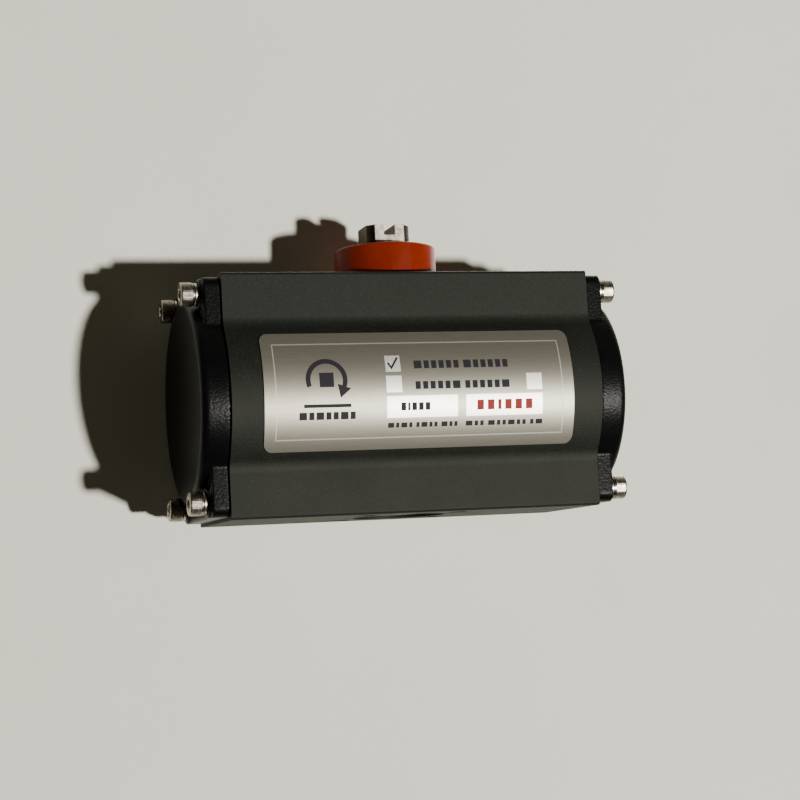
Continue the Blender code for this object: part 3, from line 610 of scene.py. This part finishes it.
def screw_places():
    """The word in each screw's name, and its y and z."""
    high = BORE_Z + SCREW_Z
    low = BORE_Z - SCREW_Z
    return [
        ("upper_front", -SCREW_Y, high),
        ("upper_rear", SCREW_Y, high),
        ("lower_front", -SCREW_Y, low),
        ("lower_rear", SCREW_Y, low),
    ]


def bore_body(body):
    """The cylinder bore, the shaft's stepped bores, the holes of the cap screws and the air channels."""
    past = BODY_END + MM
    combine(body, rods("bore", [((-past, 0, BORE_Z), (past, 0, BORE_Z), BORE_RADIUS)], 128))
    lower = [(0, SHAFT_BORE_TOP), (LOWER_BUSH_BORE, SHAFT_BORE_TOP), (LOWER_BUSH_BORE, LOWER_BUSH_SEAT)]
    lower += [(LOWER_SEAL_BORE, LOWER_BUSH_SEAT), (LOWER_SEAL_BORE, SPIGOT_DEPTH)]
    lower += [(SPIGOT_RADIUS, SPIGOT_DEPTH), (SPIGOT_RADIUS, -MM), (0, -MM)]
    combine(body, lathe("lower_bore", lower, 96))
    over = BODY_HEIGHT + MM
    upper = [(0, over), (TOP_RECESS_RADIUS, over), (TOP_RECESS_RADIUS, TOP_RECESS_FLOOR)]
    upper += [(UPPER_SEAL_BORE, TOP_RECESS_FLOOR), (UPPER_SEAL_BORE, UPPER_BUSH_SEAT)]
    upper += [(UPPER_BUSH_BORE, UPPER_BUSH_SEAT), (UPPER_BUSH_BORE, SHAFT_BORE_BOTTOM)]
    upper += [(0, SHAFT_BORE_BOTTOM)]
    combine(body, lathe("upper_bore", upper, 96))
    holes = []
    for _, y, z in screw_places():
        for side in (-1, 1):
            floor = side * (BODY_END - CAP_HOLE_DEPTH)
            holes.append(((floor, y, z), (side * past, y, z), M5_HOLE_RADIUS))
    combine(body, rods("cap_threads", holes, 24))
    channel = [((-past, CHANNEL_Y, CHANNEL_Z), (past, CHANNEL_Y, CHANNEL_Z), CHANNEL_RADIUS)]
    combine(body, rods("channel", channel, 20))
    in_port = REAR_Y - 2 * MM
    riser = [((PORT_X, in_port, BORE_Z + 2 * MM), (PORT_X, CHANNEL_Y, CHANNEL_Z), RISER_RADIUS)]
    combine(body, rods("riser", riser, 16))
    in_bore = BORE_RADIUS - 2 * MM
    throat = [((-PORT_X, in_bore, BORE_Z), (-PORT_X, in_port, BORE_Z), PORT_THROAT_RADIUS)]
    combine(body, rods("throat", throat, 20))


def tap_body(body):
    """Threaded holes: flange below, accessory face above, and the valve face with its two ports."""
    m5 = (M5_TAP_RADIUS, M5_PITCH)
    m6 = (M6_TAP_RADIUS, M6_PITCH)
    port = (PORT_TAP_RADIUS, PORT_PITCH)
    flange = FLANGE_PITCH_CIRCLE / 2 / math.sqrt(2)
    for x in (-1, 1):
        for y in (-1, 1):
            place = (x * flange, y * flange)
            ends = (*place, FLANGE_HOLE_DEPTH), (*place, 0)
            combine(body, threaded_rod(*ends, *m6, (0, 0, -1)))
            place = (x * TOP_HOLES_X, y * TOP_HOLES_Y)
            ends = (*place, BODY_HEIGHT - TOP_HOLE_DEPTH), (*place, BODY_HEIGHT)
            combine(body, threaded_rod(*ends, *m5, (0, 0, 1)))
            hole_x = x * SIDE_HOLES_X
            hole_z = BORE_Z + y * SIDE_HOLES_Z
            ends = (hole_x, REAR_Y - SIDE_HOLE_DEPTH, hole_z), (hole_x, REAR_Y, hole_z)
            combine(body, threaded_rod(*ends, *m5, (0, 1, 0)))
        ends = (x * PORT_X, REAR_Y - PORT_DEPTH, BORE_Z), (x * PORT_X, REAR_Y, BORE_Z)
        combine(body, threaded_rod(*ends, *port, (0, 1, 0)))


def make_body():
    body = prism("housing_body", [body_section()], -BODY_END, BODY_END)
    bore_body(body)
    soften(body, 0.35 * MM)
    tap_body(body)
    even_normals(smooth(body, 32))
    return finish(body, "body_anodised", "housing", "body")


def rounded_rectangle(low, high, radius, steps=8):
    points = arc((high[0] - radius, high[1] - radius), radius, 0, 90, steps)
    points += arc((low[0] + radius, high[1] - radius), radius, 90, 180, steps)
    points += arc((low[0] + radius, low[1] + radius), radius, 180, 270, steps)
    points += arc((high[0] - radius, low[1] + radius), radius, 270, 360, steps)
    return points


def make_end_cap(word, side):
    """A die casting: sharp shapes joined, then remeshed and relaxed so that every edge is a fillet."""
    half = WING_HALF_WIDTH - CAP_INSET
    outline = rounded_rectangle((-half, CAP_INSET), (half, BODY_HEIGHT - CAP_INSET), CAP_CORNER_RADIUS)
    ends = sorted((side * (BODY_END + GAP), side * (BODY_END + CAP_FLANGE)))
    cap = prism(word + "_cap_casting", [outline], ends[0], ends[1])
    centre = (BOSS_RADIUS - BOSS_ROUNDING, BOSS_HEIGHT - BOSS_ROUNDING)
    profile = [(0, BOSS_HEIGHT)] + arc(centre, BOSS_ROUNDING, 90, 0, 8)
    profile += [(BOSS_RADIUS, GAP), (PLUG_RADIUS, GAP), (PLUG_RADIUS, CAP_GROOVE_TOP)]
    profile += [(CAP_GROOVE_ROOT, CAP_GROOVE_TOP), (CAP_GROOVE_ROOT, CAP_GROOVE_BOTTOM)]
    profile += [(PLUG_RADIUS, CAP_GROOVE_BOTTOM), (PLUG_RADIUS, -PLUG_DEPTH), (0, -PLUG_DEPTH)]
    axis = "X" if side > 0 else "-X"
    combine(cap, lathe("boss", profile, 128, axis=axis, place=(side * BODY_END, 0, BORE_Z)), "UNION")

    def out(distance):
        return side * (BODY_END + distance)

    pocket = ((out(POCKET_START), 0, BORE_Z), (out(POCKET_TOP), 0, BORE_Z), POCKET_RADIUS)
    combine(cap, rods("pocket", [pocket], 64))
    pads = []
    holes = []
    for _, y, z in screw_places():
        pads.append(((out(2 * MM), y, z), (out(PAD_HEIGHT), y, z), PAD_RADIUS))
        holes.append(((out(-MM), y, z), (out(9 * MM), y, z), M5_HOLE_RADIUS))
    combine(cap, rods("pads", pads, 48), "UNION")
    combine(cap, rods("holes", holes, 24))
    remesh = cap.modifiers.new("cast", "REMESH")
    remesh.mode = "VOXEL"
    remesh.voxel_size = 0.42 * MM
    relax = cap.modifiers.new("relax", "SMOOTH")
    relax.factor = 0.5
    relax.iterations = 5
    thin = cap.modifiers.new("thin", "DECIMATE")
    thin.ratio = 0.35
    cap.data.shade_smooth()
    apply_all(cap)
    cap.data.shade_smooth()
    return finish(cap, "cap_black", "housing", word + "_end_cap")


# ---------------------------------------------------------------- screws and washers


def knurled_screw_mesh():
    """An M5 socket-head screw along +Z, its underside at zero, with a rolled knurl round the head."""
    ribs = 48
    steps = ribs * 4
    height = HEAD_HEIGHT
    edge = 0.55 * MM
    crest = HEAD_RADIUS + 0.11 * MM
    knurl_depths = (0.0, 0.0, 0.045 * MM, 0.0)
    rows = [(2.9 * MM, height), (crest - edge, height)]
    rows += [(crest - edge + edge * math.sin(a), height - edge + edge * math.cos(a)) for a in (0.5, 1.0)]
    knurl_top = height - edge
    knurl_bottom = 0.75 * MM
    knurl = [knurl_top + (knurl_bottom - knurl_top) * step / 14 for step in range(15)]
    bm = bmesh.new()
    rings = []

    def ring(radius_at, z):
        angles = [2 * math.pi * step / steps for step in range(steps)]
        radii = [radius_at(step) for step in range(steps)]
        rings.append([bm.verts.new((r * math.cos(a), r * math.sin(a), z)) for r, a in zip(radii, angles)])

    top = bm.verts.new((0, 0, height))
    for radius, z in rows:
        ring(lambda step, radius=radius: radius, z)
    for index, z in enumerate(knurl):
        cross = 0.012 * MM if index % 2 else 0.0
        ring(lambda step, cross=cross: crest - knurl_depths[step % 4] - cross, z)
    plain = HEAD_RADIUS - 0.12 * MM
    for radius, z in ((plain, knurl_bottom - 0.05 * MM), (plain, 0.1 * MM), (plain - 0.15 * MM, 0.0)):
        ring(lambda step, radius=radius: radius, z)
    ring(lambda step: M5_RADIUS, 0.0)
    tip = -(SCREW_LENGTH - height)
    z = -4 * MM
    ring(lambda step: M5_RADIUS, z)
    while z - M5_PITCH > tip + 0.6 * MM:
        ring(lambda step: M5_RADIUS - 0.4 * MM, z - M5_PITCH / 2)
        ring(lambda step: M5_RADIUS, z - M5_PITCH)
        z -= M5_PITCH
    ring(lambda step: M5_RADIUS - 0.5 * MM, tip)
    bottom = bm.verts.new((0, 0, tip))
    for first, second in zip(rings, rings[1:]):
        for step in range(steps):
            after = (step + 1) % steps
            bm.faces.new((first[step], first[after], second[after], second[step]))
    for step in range(steps):
        after = (step + 1) % steps
        bm.faces.new((top, rings[0][step], rings[0][after]))
        bm.faces.new((bottom, rings[-1][after], rings[-1][step]))
    screw = object_from("screw_pattern", bm)
    key = HEX_ACROSS_FLATS / math.sqrt(3)
    combine(screw, lathe("hexagon", [(0, 7 * MM), (key, 7 * MM), (key, 2.6 * MM), (0, 1.6 * MM)], 6))
    mouth = [(0, 6 * MM), (key + 0.9 * MM, height + 0.55 * MM), (key - 0.35 * MM, height - 0.5 * MM)]
    combine(screw, lathe("mouth", mouth + [(0, height - 0.5 * MM)], 48))
    smooth(screw, 28)
    mesh = screw.data
    bpy.data.objects.remove(screw, do_unlink=True)
    return mesh


def make_screws():
    pattern = knurled_screw_mesh()
    for word, side in (("left", -1), ("right", 1)):
        for index, (place, y, z) in enumerate(screw_places()):
            name = word + "_" + place
            screw = bpy.data.objects.new("socket_screw_" + name, pattern.copy())
            bpy.context.scene.collection.objects.link(screw)
            base = side * (BODY_END + HEAD_TOP - HEAD_HEIGHT)
            along = Matrix.Rotation(side * math.pi / 2, 4, "Y")
            spin = Matrix.Rotation(0.7 * index + 0.3 * side, 4, "Z")
            screw.data.transform(Matrix.Translation((base, y, z)) @ along @ spin)
            finish(screw, "screw_stainless", "housing", "cap_screw_" + name)
            make_washer(name, side, y, z, index)


def make_washer(name, side, y, z, index):
    """A split spring washer: one turn of flat wire whose two ends don't quite meet."""
    inner = 2.75 * MM
    outer = (WASHER_HIGH.y - WASHER_LOW.y) / 2
    low = WASHER_LOW.x - BODY_END
    high = WASHER_HIGH.x - BODY_END
    steps = 60
    opening = math.radians(9)
    bevel = 0.12 * MM
    section = [(inner, low + bevel), (inner + bevel, low), (outer - bevel, low), (outer, low + bevel)]
    section += [(outer, high - bevel), (outer - bevel, high), (inner + bevel, high), (inner, high - bevel)]
    bm = bmesh.new()
    rows = []
    for step in range(steps + 1):
        angle = math.pi / 2 + opening / 2 + (2 * math.pi - opening) * step / steps + 0.9 * index
        rows.append([bm.verts.new((r * math.cos(angle), r * math.sin(angle), h)) for r, h in section])
    for first, second in zip(rows, rows[1:]):
        for corner in range(len(section)):
            after = (corner + 1) % len(section)
            bm.faces.new((first[corner], first[after], second[after], second[corner]))
    bm.faces.new(rows[0])
    bm.faces.new(rows[-1])
    place = Matrix.Translation((side * BODY_END, y, z))
    bmesh.ops.transform(bm, matrix=place @ Matrix.Rotation(side * math.pi / 2, 4, "Y"), verts=bm.verts)
    washer = smooth(object_from("spring_washer_" + name, bm), 30)
    finish(washer, "washer_steel", "housing", "lock_washer_" + name)


# ---------------------------------------------------------------- output shaft and indicator


def gear_outline():
    """Involute teeth of the pinion, one of them pointing along +Y, as in the CAD."""
    module = 1.5 * MM
    teeth = 14
    pressure = math.radians(25)
    pitch_radius = module * teeth / 2
    tip = pitch_radius + module
    base = pitch_radius * math.cos(pressure)
    rise = math.tan(pressure) - pressure
    half = math.pi / (2 * teeth) - 0.15 * MM / pitch_radius
    flank = [(pitch_radius - 1.25 * module, half + rise)]
    for step in range(7):
        radius = base + (tip - base) * step / 6
        angle = math.acos(min(1.0, base / radius))
        flank.append((radius, half + rise - (math.tan(angle) - angle)))
    points = []
    for tooth in range(teeth):
        centre = math.pi / 2 + 2 * math.pi * tooth / teeth
        sides = [(radius, centre - spread) for radius, spread in flank]
        sides += [(radius, centre + spread) for radius, spread in reversed(flank)]
        points += [(radius * math.cos(angle), radius * math.sin(angle)) for radius, angle in sides]
    return points


def groove(radius, root, heights):
    """A groove's four corners, from its upper edge to its lower one."""
    bottom, top = heights
    return [(radius, top), (root, top), (root, bottom), (radius, bottom)]


def shaft_profile():
    """Half section of the shaft from its top to its foot: (radius, height) points."""
    journal = LOWER_JOURNAL_RADIUS
    seat = UPPER_JOURNAL_RADIUS
    waist = 8.4 * MM
    edge = SHAFT_CHAMFER
    foot = SHAFT_BOTTOM + JOURNAL_CHAMFER
    points = [(0, SHAFT_TOP), (SHAFT_RADIUS - edge, SHAFT_TOP), (SHAFT_RADIUS, SHAFT_TOP - edge)]
    points += groove(SHAFT_RADIUS, CIRCLIP_GROOVE_ROOT, CIRCLIP_GROOVE)
    points += [(SHAFT_RADIUS, TOP_RECESS_FLOOR), (seat, TOP_RECESS_FLOOR - 0.8 * MM)]
    points += groove(seat, UPPER_SEAL_ROOT, UPPER_SEAL_GROOVE)
    points += [(seat, GEAR_TOP), (waist, GEAR_TOP - MM), (waist, GEAR_BOTTOM + MM)]
    points += [(journal - JOURNAL_CHAMFER, GEAR_BOTTOM), (journal, GEAR_BOTTOM - JOURNAL_CHAMFER)]
    points += groove(journal, LOWER_SEAL_ROOT, LOWER_SEAL_GROOVE)
    points += [(journal, foot), (journal - JOURNAL_CHAMFER, SHAFT_BOTTOM), (0, SHAFT_BOTTOM)]
    return points


def make_shaft():
    shaft = lathe("drive_shaft", shaft_profile(), 96)
    ends = (GEAR_BOTTOM - 0.4 * MM, GEAR_TOP + 0.4 * MM)
    combine(shaft, prism("teeth", [gear_outline()], *ends, "plan"), "UNION")
    half = SOCKET_HALF_WIDTH
    socket = [((-half, -half, -MM), (half, half, SOCKET_DEPTH))]
    combine(shaft, blocks("socket", socket))
    combine(shaft, blocks("socket_turned", socket, math.pi / 4))
    reach = SHAFT_RADIUS + 2 * MM
    over = SHAFT_TOP + MM
    width = FLATS_HALF_WIDTH - MM
    flats = []
    for side in (-1, 1):
        near, far = sorted((side * FLATS_HALF_WIDTH, side * reach))
        flats.append(((near, -width, FLATS_BOTTOM), (far, width, over)))
        flats.append(((-width, near, FLATS_BOTTOM), (width, far, over)))
    combine(shaft, blocks("flats", flats))
    slot = [((-SLOT_HALF_WIDTH, -reach, SHAFT_TOP - SLOT_DEPTH), (SLOT_HALF_WIDTH, reach, over))]
    combine(shaft, blocks("slot", slot))
    soften(shaft, 0.12 * MM)
    even_normals(smooth(shaft, 32))
    return finish(shaft, "shaft_steel", "output_shaft", "pinion")


def make_indicator():
    top = RING_HIGH.z
    bottom = RING_LOW.z
    inner = INDICATOR_INNER_RADIUS
    edge = INDICATOR_ROUNDING
    profile = [(0, top)] + arc((RING_RADIUS - edge, top - edge), edge, 90, 0, 8)
    profile += [(RING_RADIUS, bottom), (inner, bottom), (inner, INDICATOR_ROOF), (0, INDICATOR_ROOF)]
    ring = lathe("position_indicator", profile, 160)
    half = FLATS_HALF_WIDTH + GAP
    hole = blocks("square", [((-half, -half, FLATS_BOTTOM), (half, half, top + MM))])
    round_hole = [((0, 0, FLATS_BOTTOM - MM), (0, 0, top + 2 * MM), SHAFT_RADIUS + GAP)]
    combine(hole, rods("round", round_hole, 96), "INTERSECT")
    combine(ring, hole)
    low = (-RING_RADIUS / 2, -RING_RADIUS - MM, bottom - MM)
    flat = [(low, (RING_RADIUS / 2, INDICATOR_FLAT_Y, top + MM))]
    combine(ring, blocks("flat", flat, INDICATOR_FLAT_TURN))
    smooth(ring, 24)
    return finish(ring, "indicator_orange", "output_shaft", "indicator_ring")


# ---------------------------------------------------------------- label


def band(name, inner, outer, low, high, half_length):
    """A strip of thin shell around the bulge between two heights."""
    steps = 96
    start = math.degrees(math.asin((high - BORE_Z) / outer))
    end = math.degrees(math.asin((low - BORE_Z) / outer))
    outline = arc((0, BORE_Z), outer, 180 - start, 180 - end, steps)
    outline += arc((0, BORE_Z), inner, 180 - end, 180 - start, steps)
    return prism(name, [outline], -half_length, half_length)


def rectangle(left, bottom, right, top):
    corners = [(left, bottom), (right, bottom), (right, top), (left, top)]
    return [(x * MM, z * MM) for x, z in corners]


def print_on_label(name, outlines, colour, lift, shine=0.0):
    """Ink a few hundredths of a millimetre thick, cut out of a shell that follows the label."""
    face = LABEL_RADIUS + lift
    layer = band(name, face - INK_THICKNESS, face, 25 * MM, 63 * MM, 57 * MM)
    stencil = prism("stencil", outlines, -60 * MM, -10 * MM, "front")
    combine(layer, stencil, "INTERSECT")
    smooth(layer, 30)
    layer.data.materials.clear()
    layer.data.materials.append(ink(name + "_ink", colour, shine))
    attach(layer, "housing")
    return layer


def frame_line(low, high, width):
    """A rectangular line as four strips that stop short of each other by a hair."""
    hair = 0.01
    return [
        rectangle(low[0], low[1], high[0], low[1] + width),
        rectangle(low[0], high[1] - width, high[0], high[1]),
        rectangle(low[0], low[1] + width + hair, low[0] + width, high[1] - width - hair),
        rectangle(high[0] - width, low[1] + width + hair, high[0], high[1] - width - hair),
    ]


def dashes(left, right, bottom, top, widths, gap):
    """A row of plain blocks, with a wide gap where a width is zero, scaled to fill the row."""
    units = sum(widths) + gap * (len(widths) - 1)
    scale = (right - left) / units
    blocks_made = []
    x = left
    for width in widths:
        if width:
            blocks_made.append(rectangle(x, bottom, x + width * scale, top))
        x += (width + gap) * scale
    return blocks_made


def quarter_turn_sign(centre, radius, width):
    """A plain quarter-turn arrow around a square stem: the general sign of a rotary drive."""
    cx, cz = centre
    outer = arc((cx, cz), radius, 200, -20, 40)
    inner = arc((cx, cz), radius - width, -20, 200, 40)
    tip = math.radians(-20)
    along = (math.sin(tip), -math.cos(tip))
    middle = radius - width / 2
    base = (cx + middle * math.cos(tip), cz + middle * math.sin(tip))
    spread = 1.5 * width
    head = [
        (base[0] + spread * math.cos(tip), base[1] + spread * math.sin(tip)),
        (base[0] - spread * math.cos(tip), base[1] - spread * math.sin(tip)),
        (base[0] + 2.6 * width * along[0], base[1] + 2.6 * width * along[1]),
    ]
    head = [(x + 0.02 * along[0], z + 0.02 * along[1]) for x, z in head]
    ring = [(x * MM, z * MM) for x, z in outer + inner]
    half = 2.6
    stem = rectangle(cx - half, cz - half, cx + half, cz + half)
    foot = rectangle(cx - radius - 1.0, cz - radius - 2.2, cx + radius + 1.0, cz - radius - 1.0)
    return [ring, [(x * MM, z * MM) for x, z in head], stem, foot]


def make_label():
    low = LABEL_LOW.z
    high = LABEL_HIGH.z
    back = LABEL_RADIUS - 0.3 * MM
    plate = band("name_plate", back, LABEL_RADIUS, low - MM, high + MM, LABEL_HIGH.x + MM)
    shape = rounded_rectangle((LABEL_LOW.x, low), (LABEL_HIGH.x, high), LABEL_CORNER)
    combine(plate, prism("trim", [shape], -60 * MM, -10 * MM, "front"), "INTERSECT")
    smooth(plate, 30)
    finish(plate, "label_silver", "housing", "label_plate")

    line = frame_line((-54.1, 26.7), (53.7, 61.0), 0.45)
    print_on_label("label_frame", line, rgb(0.40, 0.39, 0.35), PRINT_LIFT, 0.8)
    fields = [rectangle(-13.5, 33.6, 13.1, 41.3), rectangle(16.2, 33.6, 45.6, 41.3)]
    fields += [rectangle(-13.3, 50.1, -7.7, 56.0), rectangle(-13.5, 42.6, -7.7, 48.6)]
    fields += [rectangle(39.7, 42.6, 45.6, 48.6)]
    print_on_label("label_fields", fields, rgb(0.80, 0.79, 0.73), PRINT_LIFT, 1.0)
    dark = quarter_turn_sign((-35.3, 47.6), 7.6, 1.7)
    dark += dashes(-45.6, -25.1, 33.6, 36.2, (3, 2, 3, 2, 2, 3, 2), 0.9)
    words = (3, 2, 2, 2, 2, 2, 0, 3, 2, 2, 2, 2, 2)
    dark += dashes(-2.6, 33.0, 51.1, 54.0, words, 1.0)
    dark += dashes(-2.6, 33.0, 43.6, 46.4, words[::-1], 1.0)
    dark += dashes(-13.0, 13.0, 30.2, 31.9, (2, 1, 2, 1, 0, 1, 2, 1, 1, 0, 2, 1, 1), 0.7)
    dark += dashes(16.2, 45.6, 30.2, 31.9, (2, 1, 1, 0, 2, 1, 1, 2, 1, 1, 0, 1, 2), 0.7)
    print_on_label("label_dark", dark, rgb(0.018, 0.017, 0.022), PRINT_LIFT)
    number = dashes(-8.2, 2.6, 36.1, 38.9, (2, 1, 2, 2, 2), 0.8)
    tick = [(-12.6, 53.2), (-12.0, 53.6), (-11.1, 52.1), (-8.9, 55.5), (-8.3, 55.1), (-11.1, 50.8)]
    tick = [(x * MM, z * MM) for x, z in tick]
    print_on_label("label_entries", number + [tick], rgb(0.020, 0.019, 0.024), ENTRY_LIFT)
    red = dashes(20.4, 41.6, 35.7, 39.3, (2, 2, 1, 2, 2, 2), 1.1)
    print_on_label("label_red", red, rgb(0.27, 0.030, 0.026), ENTRY_LIFT)


# ---------------------------------------------------------------- what stays as it is in the frame


def dress_cad_nodes():
    """The inner pieces keep their CAD shape and get the finish of their slot."""
    slots = {row["node"]: row["material_slot"] for row in frame["record"]["subparts"]}
    for name, obj in frame["nodes"].items():
        obj.data.materials.clear()
        obj.data.materials.append(FINISH[slots[name]])


# ---------------------------------------------------------------- stage, light and camera


def plain_surface(name, colour):
    """A pale, faintly cloudy surface that is clear when it is seen from behind."""
    n = Nodes(name)
    cloud = n.noise(9, 4, 0.6)
    fine = n.noise(900, 3, 0.7)
    darker = tuple(0.91 * part for part in colour[:3]) + (1.0,)
    n.colour(n.mix(n.fit(n.sum(cloud, fine, 0.8), 0.6, 1.2, 0, 1), colour, darker))
    n.fixed(Roughness=0.85, Specular_IOR_Level=0.25)
    clear = n.add("ShaderNodeBsdfTransparent")
    switch = n.add("ShaderNodeMixShader")
    n.link(n.add("ShaderNodeNewGeometry").outputs["Backfacing"], switch.inputs["Fac"])
    n.link(n.shader.outputs["BSDF"], switch.inputs[1])
    n.link(clear.outputs["BSDF"], switch.inputs[2])
    n.link(switch.outputs["Shader"], n.tree.nodes["Material Output"].inputs["Surface"])
    return n.material


def sheet_of_stage(name, corners, colour, bounces):
    bm = bmesh.new()
    bm.faces.new([bm.verts.new(corner) for corner in corners])
    mesh = bpy.data.meshes.new(name)
    bm.to_mesh(mesh)
    bm.free()
    obj = bpy.data.objects.new(name, mesh)
    bpy.context.scene.collection.objects.link(obj)
    obj.data.materials.append(plain_surface(name + "_surface", colour))
    obj.visible_shadow = False
    obj.visible_diffuse = bounces
    obj.visible_glossy = bounces
    return obj


def make_stage():
    """A pale floor seen from above only, and a pale backdrop close behind, seen from the front only.

    The backdrop leans a little towards the camera at its top.
    """
    far = 6.0
    wall = REAR_Y + 6 * MM
    lean = math.tan(math.radians(4.0))
    low_wall = wall + far * lean
    high_wall = wall - far * lean
    colour = rgb(0.69, 0.69, 0.605)
    ground = [(-far, -far, 0), (far, -far, 0), (far, far, 0), (-far, far, 0)]
    upright = [(-far, low_wall, -far), (far, low_wall, -far)]
    upright += [(far, high_wall, far), (-far, high_wall, far)]
    sheet_of_stage("floor", ground, colour, False)
    sheet_of_stage("backdrop", upright, colour, True)


def area_light(name, azimuth, elevation, distance, size, power, colour):
    """A soft light aimed at the object. Azimuth 0 is in front, and 90 is on the right."""
    light = bpy.data.lights.new(name, "AREA")
    light.shape = "DISK"
    light.size = size
    light.energy = power
    light.color = colour
    a = math.radians(azimuth)
    e = math.radians(elevation)
    towards = Vector((math.sin(a) * math.cos(e), -math.cos(a) * math.cos(e), math.sin(e)))
    obj = bpy.data.objects.new(name, light)
    obj.location = Vector((0, 0, BORE_Z)) + towards * distance
    obj.rotation_euler = towards.to_track_quat("Z", "Y").to_euler()
    bpy.context.scene.collection.objects.link(obj)
    return obj


def make_lights():
    area_light("key", 21.8, -12.0, 2.6, 0.14, 132, (1.0, 0.965, 0.90))
    area_light("above_behind", 150, 34, 1.3, 0.5, 20, (1.0, 0.98, 0.95))
    area_light("behind", 140, 14, 1.5, 0.5, 16, (1.0, 0.98, 0.95))
    world = bpy.data.worlds.new("studio")
    world.use_nodes = True
    tree = world.node_tree
    background = tree.nodes["Background"]
    background.inputs["Color"].default_value = rgb(1.0, 0.91, 0.66)
    background.inputs["Strength"].default_value = 0.052
    seen = tree.nodes.new("ShaderNodeBackground")
    seen.inputs["Color"].default_value = rgb(0.60, 0.59, 0.55)
    seen.inputs["Strength"].default_value = 1.0
    path = tree.nodes.new("ShaderNodeLightPath")
    choose = tree.nodes.new("ShaderNodeMixShader")
    tree.links.new(path.outputs["Is Camera Ray"], choose.inputs["Fac"])
    tree.links.new(background.outputs["Background"], choose.inputs[1])
    tree.links.new(seen.outputs["Background"], choose.inputs[2])
    tree.links.new(choose.outputs["Shader"], tree.nodes["World Output"].inputs["Surface"])
    bpy.context.scene.world = world


def make_camera():
    """Left of the label's normal and a little below the base, looking slightly up, with a small roll."""
    yaw = math.radians(17.0)
    pitch = math.radians(5.52)
    roll = math.radians(-3.10)
    level = math.cos(pitch)
    forward = Vector((math.sin(yaw) * level, math.cos(yaw) * level, math.sin(pitch)))
    level_right = Vector((math.cos(yaw), -math.sin(yaw), 0))
    level_up = level_right.cross(forward)
    right = math.cos(roll) * level_right + math.sin(roll) * level_up
    up = right.cross(forward)
    data = bpy.data.cameras.new("camera")
    data.sensor_width = 36
    data.lens = 87.28
    data.clip_start = 0.01
    data.clip_end = 50
    obj = bpy.data.objects.new("camera", data)
    rotation = Matrix((right, up, -forward)).transposed().to_4x4()
    obj.matrix_world = Matrix.Translation((-0.2097, -0.6960, -0.0266)) @ rotation
    bpy.context.scene.collection.objects.link(obj)
    bpy.context.scene.camera = obj


dress_cad_nodes()
make_body()
for cap_word, cap_side in (("left", -1), ("right", 1)):
    make_end_cap(cap_word, cap_side)
make_screws()
make_shaft()
make_indicator()
make_label()
make_stage()
make_lights()
make_camera()
